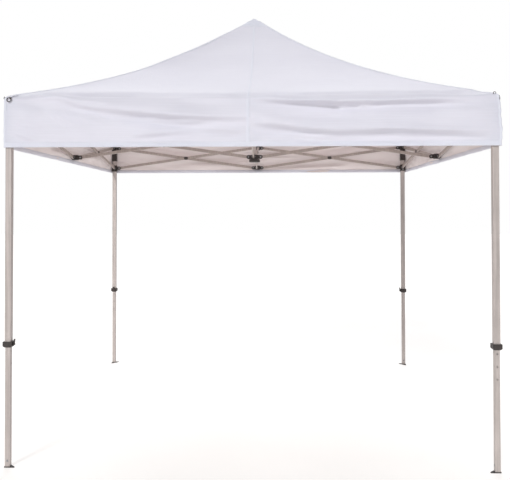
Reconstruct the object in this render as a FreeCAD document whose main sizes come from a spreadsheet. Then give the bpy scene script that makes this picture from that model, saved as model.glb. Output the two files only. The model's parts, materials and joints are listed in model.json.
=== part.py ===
import FreeCAD, Part
import math
import os
import re
import Sketcher
from FreeCAD import Placement, Rotation, Vector

# A 3 x 3 m pop up canopy: four telescoping legs, a ring of scissor trusses between them, four inner
# trusses that meet at two hubs on the middle, a peak pole, and a fabric top sewn from four roof gores
# and four valance strips.
#
# Frame: origin on the ground at the centre of the four legs, +Z up, front side at -Y, millimetres.
# All bars are equally long and equally tilted, so the whole frame opens and folds as one mechanism:
# the upper pivots keep their height and the lower pivots, sliders and lower hub sink.

DIMENSIONS = [
    ("leg_spacing", 2950, "between the axes of neighbouring legs"),
    ("upper_pivot_height", 2196, "top brackets, mid top brackets and upper hub"),
    ("lower_pivot_height", 1996, "sliders, mid bottom brackets and lower hub"),
    ("end_pivot", 50, "from a leg's or hub's axis to its bar pivots"),
    ("mid_pivot", 45, "from the middle of a side to the pivots of its brackets"),
    ("truss_offset", 7.5, "from a truss's plane to the middle of each of its two layers of bars"),
    ("bar_depth", 25, "height of a bar's section"),
    ("bar_thickness", 12.7, "width of a bar's section"),
    ("bar_wall", 0.9, "wall of a bar"),
    ("bar_corner", 1.6, "outer corner radius of a bar"),
    ("bar_end", 12.5, "bar beyond its end pivots"),
    ("bolt_radius", 4, "shank of every pivot bolt"),
    ("bolt_clearance", 0.08, "radial play of a bar on a bolt"),
    ("head_radius", 7, "bolt heads and nuts"),
    ("head_height", 3, "bolt heads and nuts"),
    ("crossing_head_radius", 14, "round plastic caps where two bars cross"),
    ("washer_thickness", 1.7, "spacer between two crossing bars"),
    ("fork_radius", 16, "round end of a fork"),
    ("fork_cheek", 5, "thickness of one cheek"),
    ("fork_play", 0.35, "between a cheek and its bar"),
    ("fork_slot", 20, "slot behind the pivot"),
    ("fork_root", 30, "arm behind the pivot"),
    ("outer_tube", 38, "square section of an upper leg"),
    ("inner_tube", 32, "square section of a lower leg"),
    ("tube_wall", 1.5, "wall of the leg tubes"),
    ("tube_corner", 2.5, "outer corner radius of the leg tubes"),
    ("outer_tube_bottom", 735, "lower end of an upper leg"),
    ("outer_tube_top", 2206, "upper end of an upper leg"),
    ("inner_tube_top", 900, "upper end of a lower leg"),
    ("guide_height", 12, "plastic guide on top of a lower leg"),
    ("guide_size", 34.4, "square section of the guide"),
    ("snap_hole_radius", 4.5, "holes of the leg height setting"),
    ("snap_hole_first", 550.6, "height of the lowest snap hole"),
    ("snap_hole_pitch", 76.2, "between snap holes"),
    ("bracket_wall", 3.5, "plastic around the leg, top bracket and slider"),
    ("bracket_skirt", 2066, "lower end of the top bracket"),
    ("bracket_top", 2212, "upper end of the top bracket"),
    ("slider_play", 0.3, "between slider and leg"),
    ("slider_below", 36, "slider below its pivots"),
    ("slider_above", 27, "slider above its pivots"),
    ("slider_pin_drop", 23, "pull pin below the slider's pivots"),
    ("slider_pin_radius", 3.5, "shank of the pull pin"),
    ("slider_pin_nose", 0.4, "from the pull pin's nose to the leg"),
    ("slider_knob_radius", 7, "knob of the pull pin, and the slider's boss under it"),
    ("slider_knob_height", 7, "knob of the pull pin"),
    ("slider_knob_gap", 0.3, "between the knob and the boss"),
    ("slider_boss_height", 4, "boss on the slider's wall"),
    ("collar_bottom", 727, "lower end of the leg's lock collar"),
    ("collar_top", 762, "upper end of the leg's lock collar"),
    ("collar_size", 56, "square section of the lock collar"),
    ("collar_taper", 8, "chamfer under the lock collar"),
    ("collar_play", 0.25, "between the collar's lip and the lower leg"),
    ("lever_out", 33, "lever axis from the leg's axis"),
    ("lever_height", 742, "lever axis above the ground"),
    ("lever_boss", 4.5, "radius of the lever around its axis"),
    ("lever_axle", 2, "radius of the lever's axle"),
    ("lever_length", 35, "from its axis to its tip"),
    ("lever_width", 18, "along its axle"),
    ("lever_thickness", 5, "of its arm"),
    ("lever_lean", 6, "degrees out of the vertical"),
    ("ear_thickness", 4, "ears that hold the lever's axle"),
    ("ear_root", 4, "ears inside the collar's wall"),
    ("ear_end", 3.5, "ears beyond the axle"),
    ("ear_below", 5.5, "ears below the axle"),
    ("foot_side", 72, "legs of the foot plate's triangle"),
    ("foot_corner", 20, "from the leg's axis to the plate's outer sides"),
    ("foot_thickness", 5, "of the foot plate"),
    ("foot_plug_top", 62, "plug of the foot inside the lower leg"),
    ("foot_rivet_height", 40, "rivet through the lower leg and the plug"),
    ("foot_rivet_radius", 4, "shank of the rivet"),
    ("foot_rivet_head", 2, "height of the rivet's heads"),
    ("stake_hole_radius", 4.5, "ground stake holes of the foot plate"),
    ("stake_hole_far", 30, "stake hole from the leg's axis, along its side"),
    ("stake_hole_near", 9, "stake hole from the leg's axis, across its side"),
    ("mid_block", 44, "square body of the mid brackets"),
    ("mid_block_height", 40, "height of the mid brackets"),
    ("hub_radius", 30, "body of the hubs"),
    ("hub_plate_radius", 44, "round foot of the lower hub"),
    ("hub_plate_bottom", 43, "underside of the lower hub below its pivots"),
    ("hub_plate_top", 20, "top of the round foot below the pivots"),
    ("hub_socket_floor", 30, "floor of the pole socket below the pivots"),
    ("pole_radius", 14, "peak pole"),
    ("pole_wall", 1.2, "peak pole"),
    ("pole_play", 0.09, "radial play of the pole in the upper hub"),
    ("pole_socket_play", 0.5, "play of the pole in the lower hub"),
    ("pole_top", 3070, "upper end of the peak pole"),
    ("cap_radius", 38, "cap on the peak pole"),
    ("cap_rim", 8, "height of the cap's rim"),
    ("cap_height", 42, "height of the cap"),
    ("canopy_width", 3002, "over the fabric"),
    ("canopy_thickness", 2, "stand-in thickness of the fabric's walls"),
    ("roof_thickness", 2.4, "stand-in thickness of the roof, measured upright"),
    ("hem_height", 1946, "lower edge of the valance"),
    ("eave_height", 2262, "where the valance meets the roof"),
    ("peak_height", 3138, "top of the canopy"),
    ("roof_radius", 3785, "hollow curve of the roof from eave to peak"),
    ("overcut", 1, "how far a cutting shape reaches past what it cuts"),
]
SNAP_HOLES = 5
PARALLEL = 0.99  # share of its length that an edge runs along an axis to count as parallel to it
SAME_HEIGHT = 0.01
SIDES = ["front", "right", "back", "left"]
CORNERS = ["front_left", "front_right", "back_right", "back_left"]

doc = FreeCAD.newDocument("pop_up_canopy")
sheet = doc.addObject("Spreadsheet::Sheet", "dims")
for row, (alias, value, note) in enumerate(DIMENSIONS, start=1):
    sheet.set(f"A{row}", note)
    sheet.set(f"B{row}", str(value))
    sheet.setAlias(f"B{row}", alias)
doc.recompute()
VALUES = {alias: value for alias, value, note in DIMENSIONS}

# Expressions that several pieces share
SCISSOR_WIDTH = "(leg_spacing / 2 - end_pivot - mid_pivot)"
SCISSOR_DROP = "(upper_pivot_height - lower_pivot_height)"
BAR_LENGTH = f"sqrt({SCISSOR_WIDTH} ^ 2 + {SCISSOR_DROP} ^ 2)"
BAR_ANGLE = f"atan({SCISSOR_DROP} / {SCISSOR_WIDTH})"
FORK_WIDTH = "(bar_thickness + 2 * fork_play + 2 * fork_cheek)"
BRACKET_SIZE = "(outer_tube + 2 * bracket_wall)"
CROSSING_HEIGHT = "((upper_pivot_height + lower_pivot_height) / 2)"


# ------------------------------------------------------------------ helpers

def in_sheet(text):
    """An expression whose dimension names point at the sheet."""
    return re.sub(r"[a-z_]+", lambda word: "dims." + word[0] if word[0] in VALUES else word[0], text)


def bind(item, prop, text):
    item.setExpression(prop, in_sheet(text))


def number(text):
    """The value of an expression in plain numbers, to seed a sketch before it is solved."""
    plain = re.sub(r"[a-z_]+", lambda word: str(VALUES[word[0]]), text)
    return float(FreeCAD.Units.Quantity(plain).Value)


def place(item, x="0", y="0", z="0"):
    for axis, text in zip("xyz", (x, y, z)):
        if text != "0":
            bind(item, f"Placement.Base.{axis}", text)
    return item


def block(name, x, y, z):
    """A box between two expressions along each axis."""
    solid = doc.addObject("Part::Box", name)
    for size, (low, high) in zip(("Length", "Width", "Height"), (x, y, z)):
        bind(solid, size, f"({high}) - ({low})")
    return place(solid, x[0], y[0], z[0])


def square_block(name, size, low, high):
    half = f"({size}) / 2"
    return block(name, (f"-{half}", half), (f"-{half}", half), (low, high))


TURN_TO = {
    "x": Rotation(Vector(0, 1, 0), 90),
    "y": Rotation(Vector(1, 0, 0), -90),
    "z": Rotation(),
}


def rod(name, axis, radius, low, high, x="0", y="0", z="0"):
    """A cylinder from low to high along an axis, through (x, y, z)."""
    solid = doc.addObject("Part::Cylinder", name)
    bind(solid, "Radius", radius)
    bind(solid, "Height", f"({high}) - ({low})")
    solid.Placement = Placement(Vector(), TURN_TO[axis])
    start = {"x": (low, y, z), "y": (x, low, z), "z": (x, y, low)}[axis]
    return place(solid, *start)


def fuse(name, solids):
    joined = doc.addObject("Part::MultiFuse", name)
    joined.Shapes = solids
    joined.Refine = True
    return joined


def cut(name, base, tools):
    tool = tools[0] if len(tools) == 1 else fuse(name + "_tools", tools)
    result = doc.addObject("Part::Cut", name)
    result.Base = base
    result.Tool = tool
    return result


def group(name, solids, turn=0, x="0", y="0", z="0"):
    """Solids kept apart in one object, turned about +Z and then moved."""
    whole = doc.addObject("Part::Compound", name)
    whole.Links = solids
    whole.Placement = Placement(Vector(), Rotation(Vector(0, 0, 1), turn))
    return place(whole, x, y, z)


def body_sketch(body, plane, name, offset="0"):
    """A sketch on one of the body's own origin planes."""
    origin_plane = [item for item in body.Origin.OriginFeatures if item.Role == plane][0]
    sketch = body.newObject("Sketcher::SketchObject", name)
    sketch.AttachmentSupport = [(origin_plane, "")]
    sketch.MapMode = "FlatFace"
    if offset != "0":
        bind(sketch, "AttachmentOffset.Base.z", offset)
    return sketch


def size_constraint(sketch, name, constraint, text):
    index = sketch.addConstraint(constraint)
    sketch.renameConstraint(index, name)
    bind(sketch, f"Constraints.{name}", text)


def add_rectangle(sketch, label, width, height):
    """A rectangle about the sketch's origin."""
    w, d = number(width) / 2, number(height) / 2
    corners = [Vector(-w, -d), Vector(w, -d), Vector(w, d), Vector(-w, d)]
    first = sketch.GeometryCount
    for start, end in zip(corners, corners[1:] + corners[:1]):
        sketch.addGeometry(Part.LineSegment(start, end), False)
    for side in range(4):
        following = first + (side + 1) % 4
        sketch.addConstraint(Sketcher.Constraint("Coincident", first + side, 2, following, 1))
    for side, kind in enumerate(("Horizontal", "Vertical", "Horizontal", "Vertical")):
        sketch.addConstraint(Sketcher.Constraint(kind, first + side))
    sketch.addConstraint(Sketcher.Constraint("Symmetric", first, 1, first + 1, 2, -1, 1))
    span_x = Sketcher.Constraint("DistanceX", first, 1, first, 2, 2 * w)
    span_y = Sketcher.Constraint("DistanceY", first + 1, 1, first + 1, 2, 2 * d)
    size_constraint(sketch, label + "_width", span_x, width)
    size_constraint(sketch, label + "_height", span_y, height)


def add_circle(sketch, label, radius, x="0", y="0"):
    centre = Vector(number(x), number(y))
    index = sketch.addGeometry(Part.Circle(centre, Vector(0, 0, 1), number(radius)), False)
    size_constraint(sketch, label + "_radius", Sketcher.Constraint("Radius", index, number(radius)), radius)
    for kind, text, value in (("DistanceX", x, centre.x), ("DistanceY", y, centre.y)):
        if text == "0":
            axis = -2 if kind == "DistanceX" else -1
            sketch.addConstraint(Sketcher.Constraint("PointOnObject", index, 3, axis))
        else:
            constraint = Sketcher.Constraint(kind, -1, 1, index, 3, value)
            size_constraint(sketch, f"{label}_{kind[-1].lower()}", constraint, text)


def pad(body, name, sketch, length):
    feature = body.newObject("PartDesign::Pad", name)
    feature.Profile = sketch
    bind(feature, "Length", length)
    sketch.Visibility = False
    return feature


def pocket_through(body, name, sketch):
    """Cuts a sketch right through the body, both ways."""
    feature = body.newObject("PartDesign::Pocket", name)
    feature.Profile = sketch
    feature.Type = "ThroughAll"
    feature.Midplane = True
    return feature


def round_edges(body, name, feature, radius, wanted):
    """Fillets the edges of a feature for which wanted(edge) is true."""
    doc.recompute()
    edges = [f"Edge{i}" for i, edge in enumerate(feature.Shape.Edges, start=1) if wanted(edge)]
    fillet = body.newObject("PartDesign::Fillet", name)
    fillet.Base = (feature, edges)
    bind(fillet, "Radius", radius)
    return fillet


def outer_corner(axis, reach):
    """Picks the edges along an axis that stand at least reach from it."""
    def wanted(edge):
        ends = edge.Vertexes[0].Point - edge.Vertexes[-1].Point
        middle = edge.CenterOfMass
        across = [abs(middle[i]) for i in range(3) if i != axis]
        return abs(ends[axis]) > PARALLEL * edge.Length and math.hypot(*across) > reach
    return wanted


# ------------------------------------------------------------------ bars, forks and bolts

def make_bar():
    """One scissor bar: rectangular tube along +X, first pivot at the origin, last at BAR_LENGTH."""
    body = doc.addObject("PartDesign::Body", "scissor_bar")
    section = body_sketch(body, "YZ_Plane", "bar_section", "-bar_end")
    add_rectangle(section, "outer", "bar_thickness", "bar_depth")
    add_rectangle(section, "inner", "bar_thickness - 2 * bar_wall", "bar_depth - 2 * bar_wall")
    tube = pad(body, "bar_tube", section, f"{BAR_LENGTH} + 2 * bar_end")
    reach = math.hypot(VALUES["bar_thickness"], VALUES["bar_depth"]) / 2 - VALUES["bar_wall"] / 2
    round_edges(body, "bar_corners", tube, "bar_corner", outer_corner(0, reach))
    holes = body_sketch(body, "XZ_Plane", "bar_holes")
    hole_radius = "bolt_radius + bolt_clearance"
    length = math.hypot(number(SCISSOR_WIDTH), number(SCISSOR_DROP))
    places = (("near", "0", 0), ("middle", f"{BAR_LENGTH} / 2", 0.5), ("far", BAR_LENGTH, 1))
    for label, text, share in places:
        circle = Part.Circle(Vector(length * share, 0), Vector(0, 0, 1), number(hole_radius))
        index = holes.addGeometry(circle, False)
        wide = Sketcher.Constraint("Radius", index, number(hole_radius))
        size_constraint(holes, label + "_radius", wide, hole_radius)
        holes.addConstraint(Sketcher.Constraint("PointOnObject", index, 3, -1))
        if share:
            along = Sketcher.Constraint("DistanceX", -1, 1, index, 3, length * share)
            size_constraint(holes, label + "_x", along, text)
        else:
            holes.addConstraint(Sketcher.Constraint("PointOnObject", index, 3, -2))
    pocket_through(body, "bar_drilling", holes)
    return body


def make_fork():
    """One arm of a bracket: points along +X, pivot at the origin, slotted for a bar."""
    half = f"{FORK_WIDTH} / 2"
    slot = "bar_thickness / 2 + fork_play"
    past = "fork_radius + overcut"
    arm = fuse("fork_solid", [
        block("fork_arm", ("-fork_root", "0"), (f"-{half}", half), ("-fork_radius", "fork_radius")),
        rod("fork_end", "y", "fork_radius", f"-{half}", half),
    ])
    return cut("fork", arm, [
        block("fork_slot_space", ("-fork_slot", past), (f"-({slot})", slot), (f"-({past})", past)),
        rod("fork_hole", "y", "bolt_radius", f"-{half} - overcut", f"{half} + overcut"),
    ])


def make_pivot_bolt():
    """Shank through a fork, round head at -Y and hexagon nut at +Y."""
    half = f"{FORK_WIDTH} / 2"
    nut = doc.addObject("Part::Prism", "pivot_nut")
    nut.Polygon = 6
    bind(nut, "Circumradius", "head_radius")
    bind(nut, "Height", "head_height")
    nut.Placement = Placement(Vector(), TURN_TO["y"])
    place(nut, y=half)
    return fuse("pivot_bolt", [
        rod("pivot_shank", "y", "bolt_radius", f"-{half}", half),
        rod("pivot_head", "y", "head_radius", f"-{half} - head_height", f"-{half}"),
        nut,
    ])


def make_crossing_bolt():
    """Bolt, both round caps and the spacer where two bars cross, centred on the truss's plane."""
    reach = "(truss_offset + bar_thickness / 2 + fork_play)"
    cap = f"{reach} + head_height"
    bolt = fuse("crossing_bolt", [
        rod("crossing_shank", "y", "bolt_radius", f"-{reach}", reach),
        rod("crossing_cap_front", "y", "crossing_head_radius", f"-({cap})", f"-{reach}"),
        rod("crossing_cap_back", "y", "crossing_head_radius", reach, cap),
    ])
    half = "washer_thickness / 2"
    ring = rod("washer_disc", "y", "crossing_head_radius", f"-{half}", half)
    hole = rod("washer_hole", "y", "bolt_radius", f"-{half} - overcut", f"{half} + overcut")
    return [bolt, cut("washer", ring, [hole])]


bar = make_bar()
fork = make_fork()
pivot_bolt = make_pivot_bolt()
crossing = make_crossing_bolt()


def tilted_bar(name, direction, x, y, z):
    """A bar with its first pivot at (x, y, z), running along +X and down (1) or up (-1)."""
    item = doc.addObject("Part::Compound", name)
    item.Links = [bar]
    item.Placement = Placement(Vector(), Rotation(Vector(0, direction, 0), 1))
    bind(item, "Placement.Rotation.Angle", BAR_ANGLE)
    return place(item, x, y, z)


def arms_and_bolts(name, arms, z):
    """Fork arms and bolts of a bracket at height z.

    Each arm is (turn, pivot distance, layer): it points along +X turned by turn degrees about the
    bracket's axis, and layer is +1 or -1 for the side of the truss's plane its bar lies on, seen
    before turning.
    """
    forks, bolts = [], []
    for index, (turn, pivot, layer) in enumerate(arms, start=1):
        for kind, source, items in (("arm", fork, forks), ("bolt", pivot_bolt, bolts)):
            straight = group(f"{name}_{kind}_{index}_straight", [source], 0, pivot, f"{layer} * truss_offset")
            items.append(group(f"{name}_{kind}_{index}", [straight], turn, z=z))
    return forks, bolts


# ------------------------------------------------------------------ brackets

def make_mid_bracket(name, height, side_layer, inner_layer):
    """Bracket on the middle of the front side, with forks left, right and towards the centre."""
    arms = [(0, "mid_pivot", side_layer), (180, "mid_pivot", -side_layer), (90, "mid_pivot", inner_layer)]
    forks, bolts = arms_and_bolts(name, arms, height)
    half = "mid_block_height / 2"
    middle = square_block(name + "_block", "mid_block", f"{height} - {half}", f"{height} + {half}")
    solid = fuse(name + "_solid", [middle] + forks)
    return group(name + "_front", [solid] + bolts, 0, y="-leg_spacing / 2")


def four_arms(layer):
    return [(turn, "end_pivot", layer) for turn in (0, 90, 180, 270)]


def make_upper_hub():
    forks, bolts = arms_and_bolts("high_hub", four_arms(1), "upper_pivot_height")
    low, high = "upper_pivot_height - fork_radius", "upper_pivot_height + fork_radius"
    solid = fuse("upper_hub_solid", [rod("upper_hub_body", "z", "hub_radius", low, high)] + forks)
    bore = rod("upper_hub_bore", "z", "pole_radius + pole_play", f"{low} - overcut", f"{high} + overcut")
    return group("upper_hub_pieces", [cut("upper_hub_bored", solid, [bore])] + bolts)


def make_lower_hub():
    forks, bolts = arms_and_bolts("low_hub", four_arms(-1), "lower_pivot_height")
    top = "lower_pivot_height + fork_radius"
    bottom = "lower_pivot_height - hub_plate_bottom"
    plate_top = "lower_pivot_height - hub_plate_top"
    solid = fuse("lower_hub_solid", [
        rod("lower_hub_body", "z", "hub_radius", bottom, top),
        rod("lower_hub_plate", "z", "hub_plate_radius", bottom, plate_top),
    ] + forks)
    floor = "lower_pivot_height - hub_socket_floor"
    socket = rod("lower_hub_socket", "z", "pole_radius + pole_socket_play", floor, f"{top} + overcut")
    return group("lower_hub_pieces", [cut("lower_hub_bored", solid, [socket])] + bolts)


# ------------------------------------------------------------------ legs, built on an axis at x = y = 0

def make_tube(name, size, bottom, top):
    """Square tube with rounded corners, with its body returned for more features."""
    body = doc.addObject("PartDesign::Body", name)
    section = body_sketch(body, "XY_Plane", name + "_section", bottom)
    add_rectangle(section, "outer", size, size)
    add_rectangle(section, "inner", f"{size} - 2 * tube_wall", f"{size} - 2 * tube_wall")
    tube = pad(body, name + "_pad", section, f"{top} - ({bottom})")
    reach = (number(size) - VALUES["tube_wall"]) / math.sqrt(2)
    round_edges(body, name + "_corners", tube, "tube_corner", outer_corner(2, reach))
    return body


def make_top_bracket():
    """Plastic head of a leg: long skirt, closed top and two forks for the outer layer of bars."""
    arms = [(0, "end_pivot", -1), (90, "end_pivot", 1)]
    forks, bolts = arms_and_bolts("top_bracket", arms, "upper_pivot_height")
    skirt = square_block("top_bracket_skirt", BRACKET_SIZE, "bracket_skirt", "bracket_top")
    solid = fuse("top_bracket_solid", [skirt] + forks)
    space = square_block("top_bracket_space", "outer_tube", "bracket_skirt - overcut", "outer_tube_top")
    return [cut("top_bracket", solid, [space])] + bolts


def make_collar():
    """Lock collar on the lower end of an upper leg, with the lever's ears and axle at +X."""
    body = square_block("collar_body", "collar_size", "collar_bottom", "collar_top")
    doc.recompute()
    low = number("collar_bottom")
    size = number("collar_taper")
    chamfer = doc.addObject("Part::Chamfer", "collar_chamfer")
    chamfer.Base = body
    chamfer.Edges = [
        (i, size, size) for i, edge in enumerate(body.Shape.Edges, start=1)
        if all(abs(vertex.Z - low) < SAME_HEIGHT for vertex in edge.Vertexes)
    ]
    ears = []
    across = "lever_width / 2 + fork_play + ear_thickness"
    for label, low_side, high_side in (("left", f"-({across})", "-(lever_width / 2 + fork_play)"),
                                       ("right", "lever_width / 2 + fork_play", across)):
        reach = ("collar_size / 2 - ear_root", "lever_out + ear_end")
        upright = ("lever_height - ear_below", "lever_height + lever_boss")
        ears.append(block(f"collar_ear_{label}", reach, (low_side, high_side), upright))
    solid = fuse("collar_solid", [chamfer] + ears)
    above = square_block("collar_tube_space", "outer_tube", "outer_tube_bottom", "collar_top + overcut")
    through = square_block("collar_lip_space", "inner_tube + 2 * collar_play", "collar_bottom - overcut",
                           "outer_tube_bottom + overcut")
    at_lever = {"x": "lever_out", "z": "lever_height"}
    hole = rod("collar_axle_hole", "y", "lever_axle", f"-({across}) - overcut", f"{across} + overcut",
               **at_lever)
    axle = rod("lever_axle_pin", "y", "lever_axle", f"-({across})", across, **at_lever)
    return [cut("collar", solid, [above, through, hole]), axle]


def make_lever():
    """Cam lever of the lock collar, standing a little out of the vertical."""
    half = "lever_width / 2"
    arm = fuse("lever_arm", [
        rod("lever_boss_rod", "y", "lever_boss", f"-{half}", half),
        block("lever_plate", ("-lever_thickness / 2", "lever_thickness / 2"), (f"-{half}", half),
              ("0", "lever_length - lever_thickness / 2")),
        rod("lever_tip", "y", "lever_thickness / 2", f"-{half}", half,
            z="lever_length - lever_thickness / 2"),
    ])
    hole = rod("lever_hole", "y", "lever_axle + bolt_clearance", f"-{half} - overcut", f"{half} + overcut")
    upright = cut("lever_upright", arm, [hole])
    lever = doc.addObject("Part::Compound", "lever")
    lever.Links = [upright]
    lever.Placement = Placement(Vector(), Rotation(Vector(0, 1, 0), 1))
    bind(lever, "Placement.Rotation.Angle", "lever_lean")
    return [place(lever, x="lever_out", z="lever_height")]


def make_slider():
    """Plastic slider on a leg with two forks for the inner layer of bars and a boss for its pull pin."""
    arms = [(0, "end_pivot", 1), (90, "end_pivot", -1)]
    forks, bolts = arms_and_bolts("slider", arms, "lower_pivot_height")
    low, high = "lower_pivot_height - slider_below", "lower_pivot_height + slider_above"
    sleeve = square_block("slider_sleeve", BRACKET_SIZE, low, high)
    pin_height = "lower_pivot_height - slider_pin_drop"
    boss_top = f"{BRACKET_SIZE} / 2 + slider_boss_height"
    boss = rod("slider_boss", "y", "slider_knob_radius", "outer_tube / 2 + bracket_wall / 2", boss_top,
               z=pin_height)
    solid = fuse("slider_solid", [sleeve, boss] + forks)
    space = square_block("slider_space", "outer_tube + 2 * slider_play", f"{low} - overcut",
                         f"{high} + overcut")
    hole = rod("slider_pin_hole", "y", "slider_pin_radius + bolt_clearance", "outer_tube / 2 - overcut",
               f"{boss_top} + overcut", z=pin_height)
    return [cut("slider_bored", solid, [space, hole])] + bolts


def make_slider_pin():
    """Sprung pull pin of a slider, with a round knob; its nose stops just short of the leg."""
    height = "lower_pivot_height - slider_pin_drop"
    face = f"({BRACKET_SIZE} / 2 + slider_boss_height + slider_knob_gap)"
    return [fuse("slider_pin", [
        rod("slider_pin_shank", "y", "slider_pin_radius", "outer_tube / 2 + slider_pin_nose", face, z=height),
        rod("slider_pin_knob", "y", "slider_knob_radius", face, f"{face} + slider_knob_height", z=height),
    ])]


def make_foot():
    """Foot plate with its outer corner under the leg, stake holes and a plug inside the leg."""
    body = doc.addObject("PartDesign::Body", "foot_plate")
    outline = body_sketch(body, "XY_Plane", "foot_outline")
    near, far = -VALUES["foot_corner"], VALUES["foot_side"] - VALUES["foot_corner"]
    corners = [Vector(near, near), Vector(far, near), Vector(near, far)]
    for start, end in zip(corners, corners[1:] + corners[:1]):
        outline.addGeometry(Part.LineSegment(start, end), False)
    for side in range(3):
        outline.addConstraint(Sketcher.Constraint("Coincident", side, 2, (side + 1) % 3, 1))
    outline.addConstraint(Sketcher.Constraint("Horizontal", 0))
    outline.addConstraint(Sketcher.Constraint("Vertical", 2))
    outline.addConstraint(Sketcher.Constraint("Equal", 0, 2))
    long_side = Sketcher.Constraint("DistanceX", 0, 1, 0, 2, far - near)
    size_constraint(outline, "side", long_side, "foot_side")
    size_constraint(outline, "corner_x", Sketcher.Constraint("DistanceX", 0, 1, -1, 1, -near), "foot_corner")
    size_constraint(outline, "corner_y", Sketcher.Constraint("DistanceY", 0, 1, -1, 1, -near), "foot_corner")
    plate = pad(body, "foot_pad", outline, "foot_thickness")
    round_edges(body, "foot_corners", plate, "foot_thickness", outer_corner(2, 0))
    holes = body_sketch(body, "XY_Plane", "foot_holes")
    add_circle(holes, "first", "stake_hole_radius", "stake_hole_far", "-stake_hole_near")
    add_circle(holes, "second", "stake_hole_radius", "-stake_hole_near", "stake_hole_far")
    pocket_through(body, "foot_drilling", holes)
    plug = square_block("foot_plug", "inner_tube - 2 * tube_wall", "foot_thickness / 2", "foot_plug_top")
    solid = fuse("foot_solid", [body, plug])
    wall, height = "inner_tube / 2", "foot_rivet_height"
    outside = f"{wall} + foot_rivet_head"
    rivet_hole = rod("foot_rivet_hole", "y", "foot_rivet_radius", f"-{wall}", wall, z=height)
    rivet = fuse("foot_rivet", [
        rod("foot_rivet_shank", "y", "foot_rivet_radius", f"-{wall}", wall, z=height),
        rod("foot_rivet_front", "y", "head_radius", f"-({outside})", f"-{wall}", z=height),
        rod("foot_rivet_back", "y", "head_radius", wall, outside, z=height),
    ])
    return [cut("foot", solid, [rivet_hole]), rivet]


def make_lower_leg():
    """Lower leg tube with its row of snap holes, its foot and the guide on top."""
    body = make_tube("lower_tube", "inner_tube", "foot_thickness", "inner_tube_top")
    holes = body_sketch(body, "YZ_Plane", "snap_hole_sketch")
    add_circle(holes, "snap", "snap_hole_radius", "0", "snap_hole_first")
    drilling = pocket_through(body, "snap_hole", holes)
    doc.recompute()
    z_axis = [item for item in body.Origin.OriginFeatures if item.Role == "Z_Axis"][0]
    row = body.newObject("PartDesign::LinearPattern", "snap_hole_row")
    row.Originals = [drilling]
    row.Direction = (z_axis, [""])
    row.Occurrences = SNAP_HOLES
    bind(row, "Length", f"{SNAP_HOLES - 1} * snap_hole_pitch")
    body.Tip = row
    rivet_space = rod("lower_tube_rivet_hole", "y", "foot_rivet_radius", "-inner_tube", "inner_tube",
                      z="foot_rivet_height")
    tube = cut("lower_tube_drilled", body, [rivet_space])
    guide = square_block("leg_guide", "guide_size", "inner_tube_top", "inner_tube_top + guide_height")
    return [tube, guide] + make_foot()


# ------------------------------------------------------------------ pole, cap and fabric top

def make_peak_pole():
    low = "lower_pivot_height - hub_socket_floor + pole_socket_play"
    outside = rod("pole_outside", "z", "pole_radius", low, "pole_top")
    inside = rod("pole_inside", "z", "pole_radius - pole_wall", f"{low} - overcut", "pole_top + overcut")
    return cut("pole_tube", outside, [inside])


def make_peak_cap():
    """Domed cap on the pole, turned about the pole's axis."""
    body = doc.addObject("PartDesign::Body", "pole_cap")
    sketch = body_sketch(body, "XZ_Plane", "cap_profile")
    low, rim = VALUES["pole_top"], VALUES["pole_top"] + VALUES["cap_rim"]
    top = VALUES["pole_top"] + VALUES["cap_height"]
    wide = VALUES["cap_radius"]
    for start, end in (((0, low), (wide, low)), ((wide, low), (wide, rim)), ((wide, rim), (0, top)),
                       ((0, top), (0, low))):
        sketch.addGeometry(Part.LineSegment(Vector(*start), Vector(*end)), False)
    for side in range(4):
        sketch.addConstraint(Sketcher.Constraint("Coincident", side, 2, (side + 1) % 4, 1))
    sketch.addConstraint(Sketcher.Constraint("Horizontal", 0))
    sketch.addConstraint(Sketcher.Constraint("Vertical", 1))
    sketch.addConstraint(Sketcher.Constraint("PointOnObject", 0, 1, -2))
    sketch.addConstraint(Sketcher.Constraint("PointOnObject", 3, 1, -2))
    size_constraint(sketch, "wide", Sketcher.Constraint("DistanceX", 0, 1, 0, 2, wide), "cap_radius")
    size_constraint(sketch, "low", Sketcher.Constraint("DistanceY", -1, 1, 0, 1, low), "pole_top")
    size_constraint(sketch, "rim", Sketcher.Constraint("DistanceY", 1, 1, 1, 2, rim - low), "cap_rim")
    size_constraint(sketch, "tall", Sketcher.Constraint("DistanceY", 0, 1, 2, 2, top - low), "cap_height")
    turning = body.newObject("PartDesign::Revolution", "cap_turning")
    turning.Profile = sketch
    turning.ReferenceAxis = (sketch, ["V_Axis"])
    turning.Angle = 360
    return body


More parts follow.
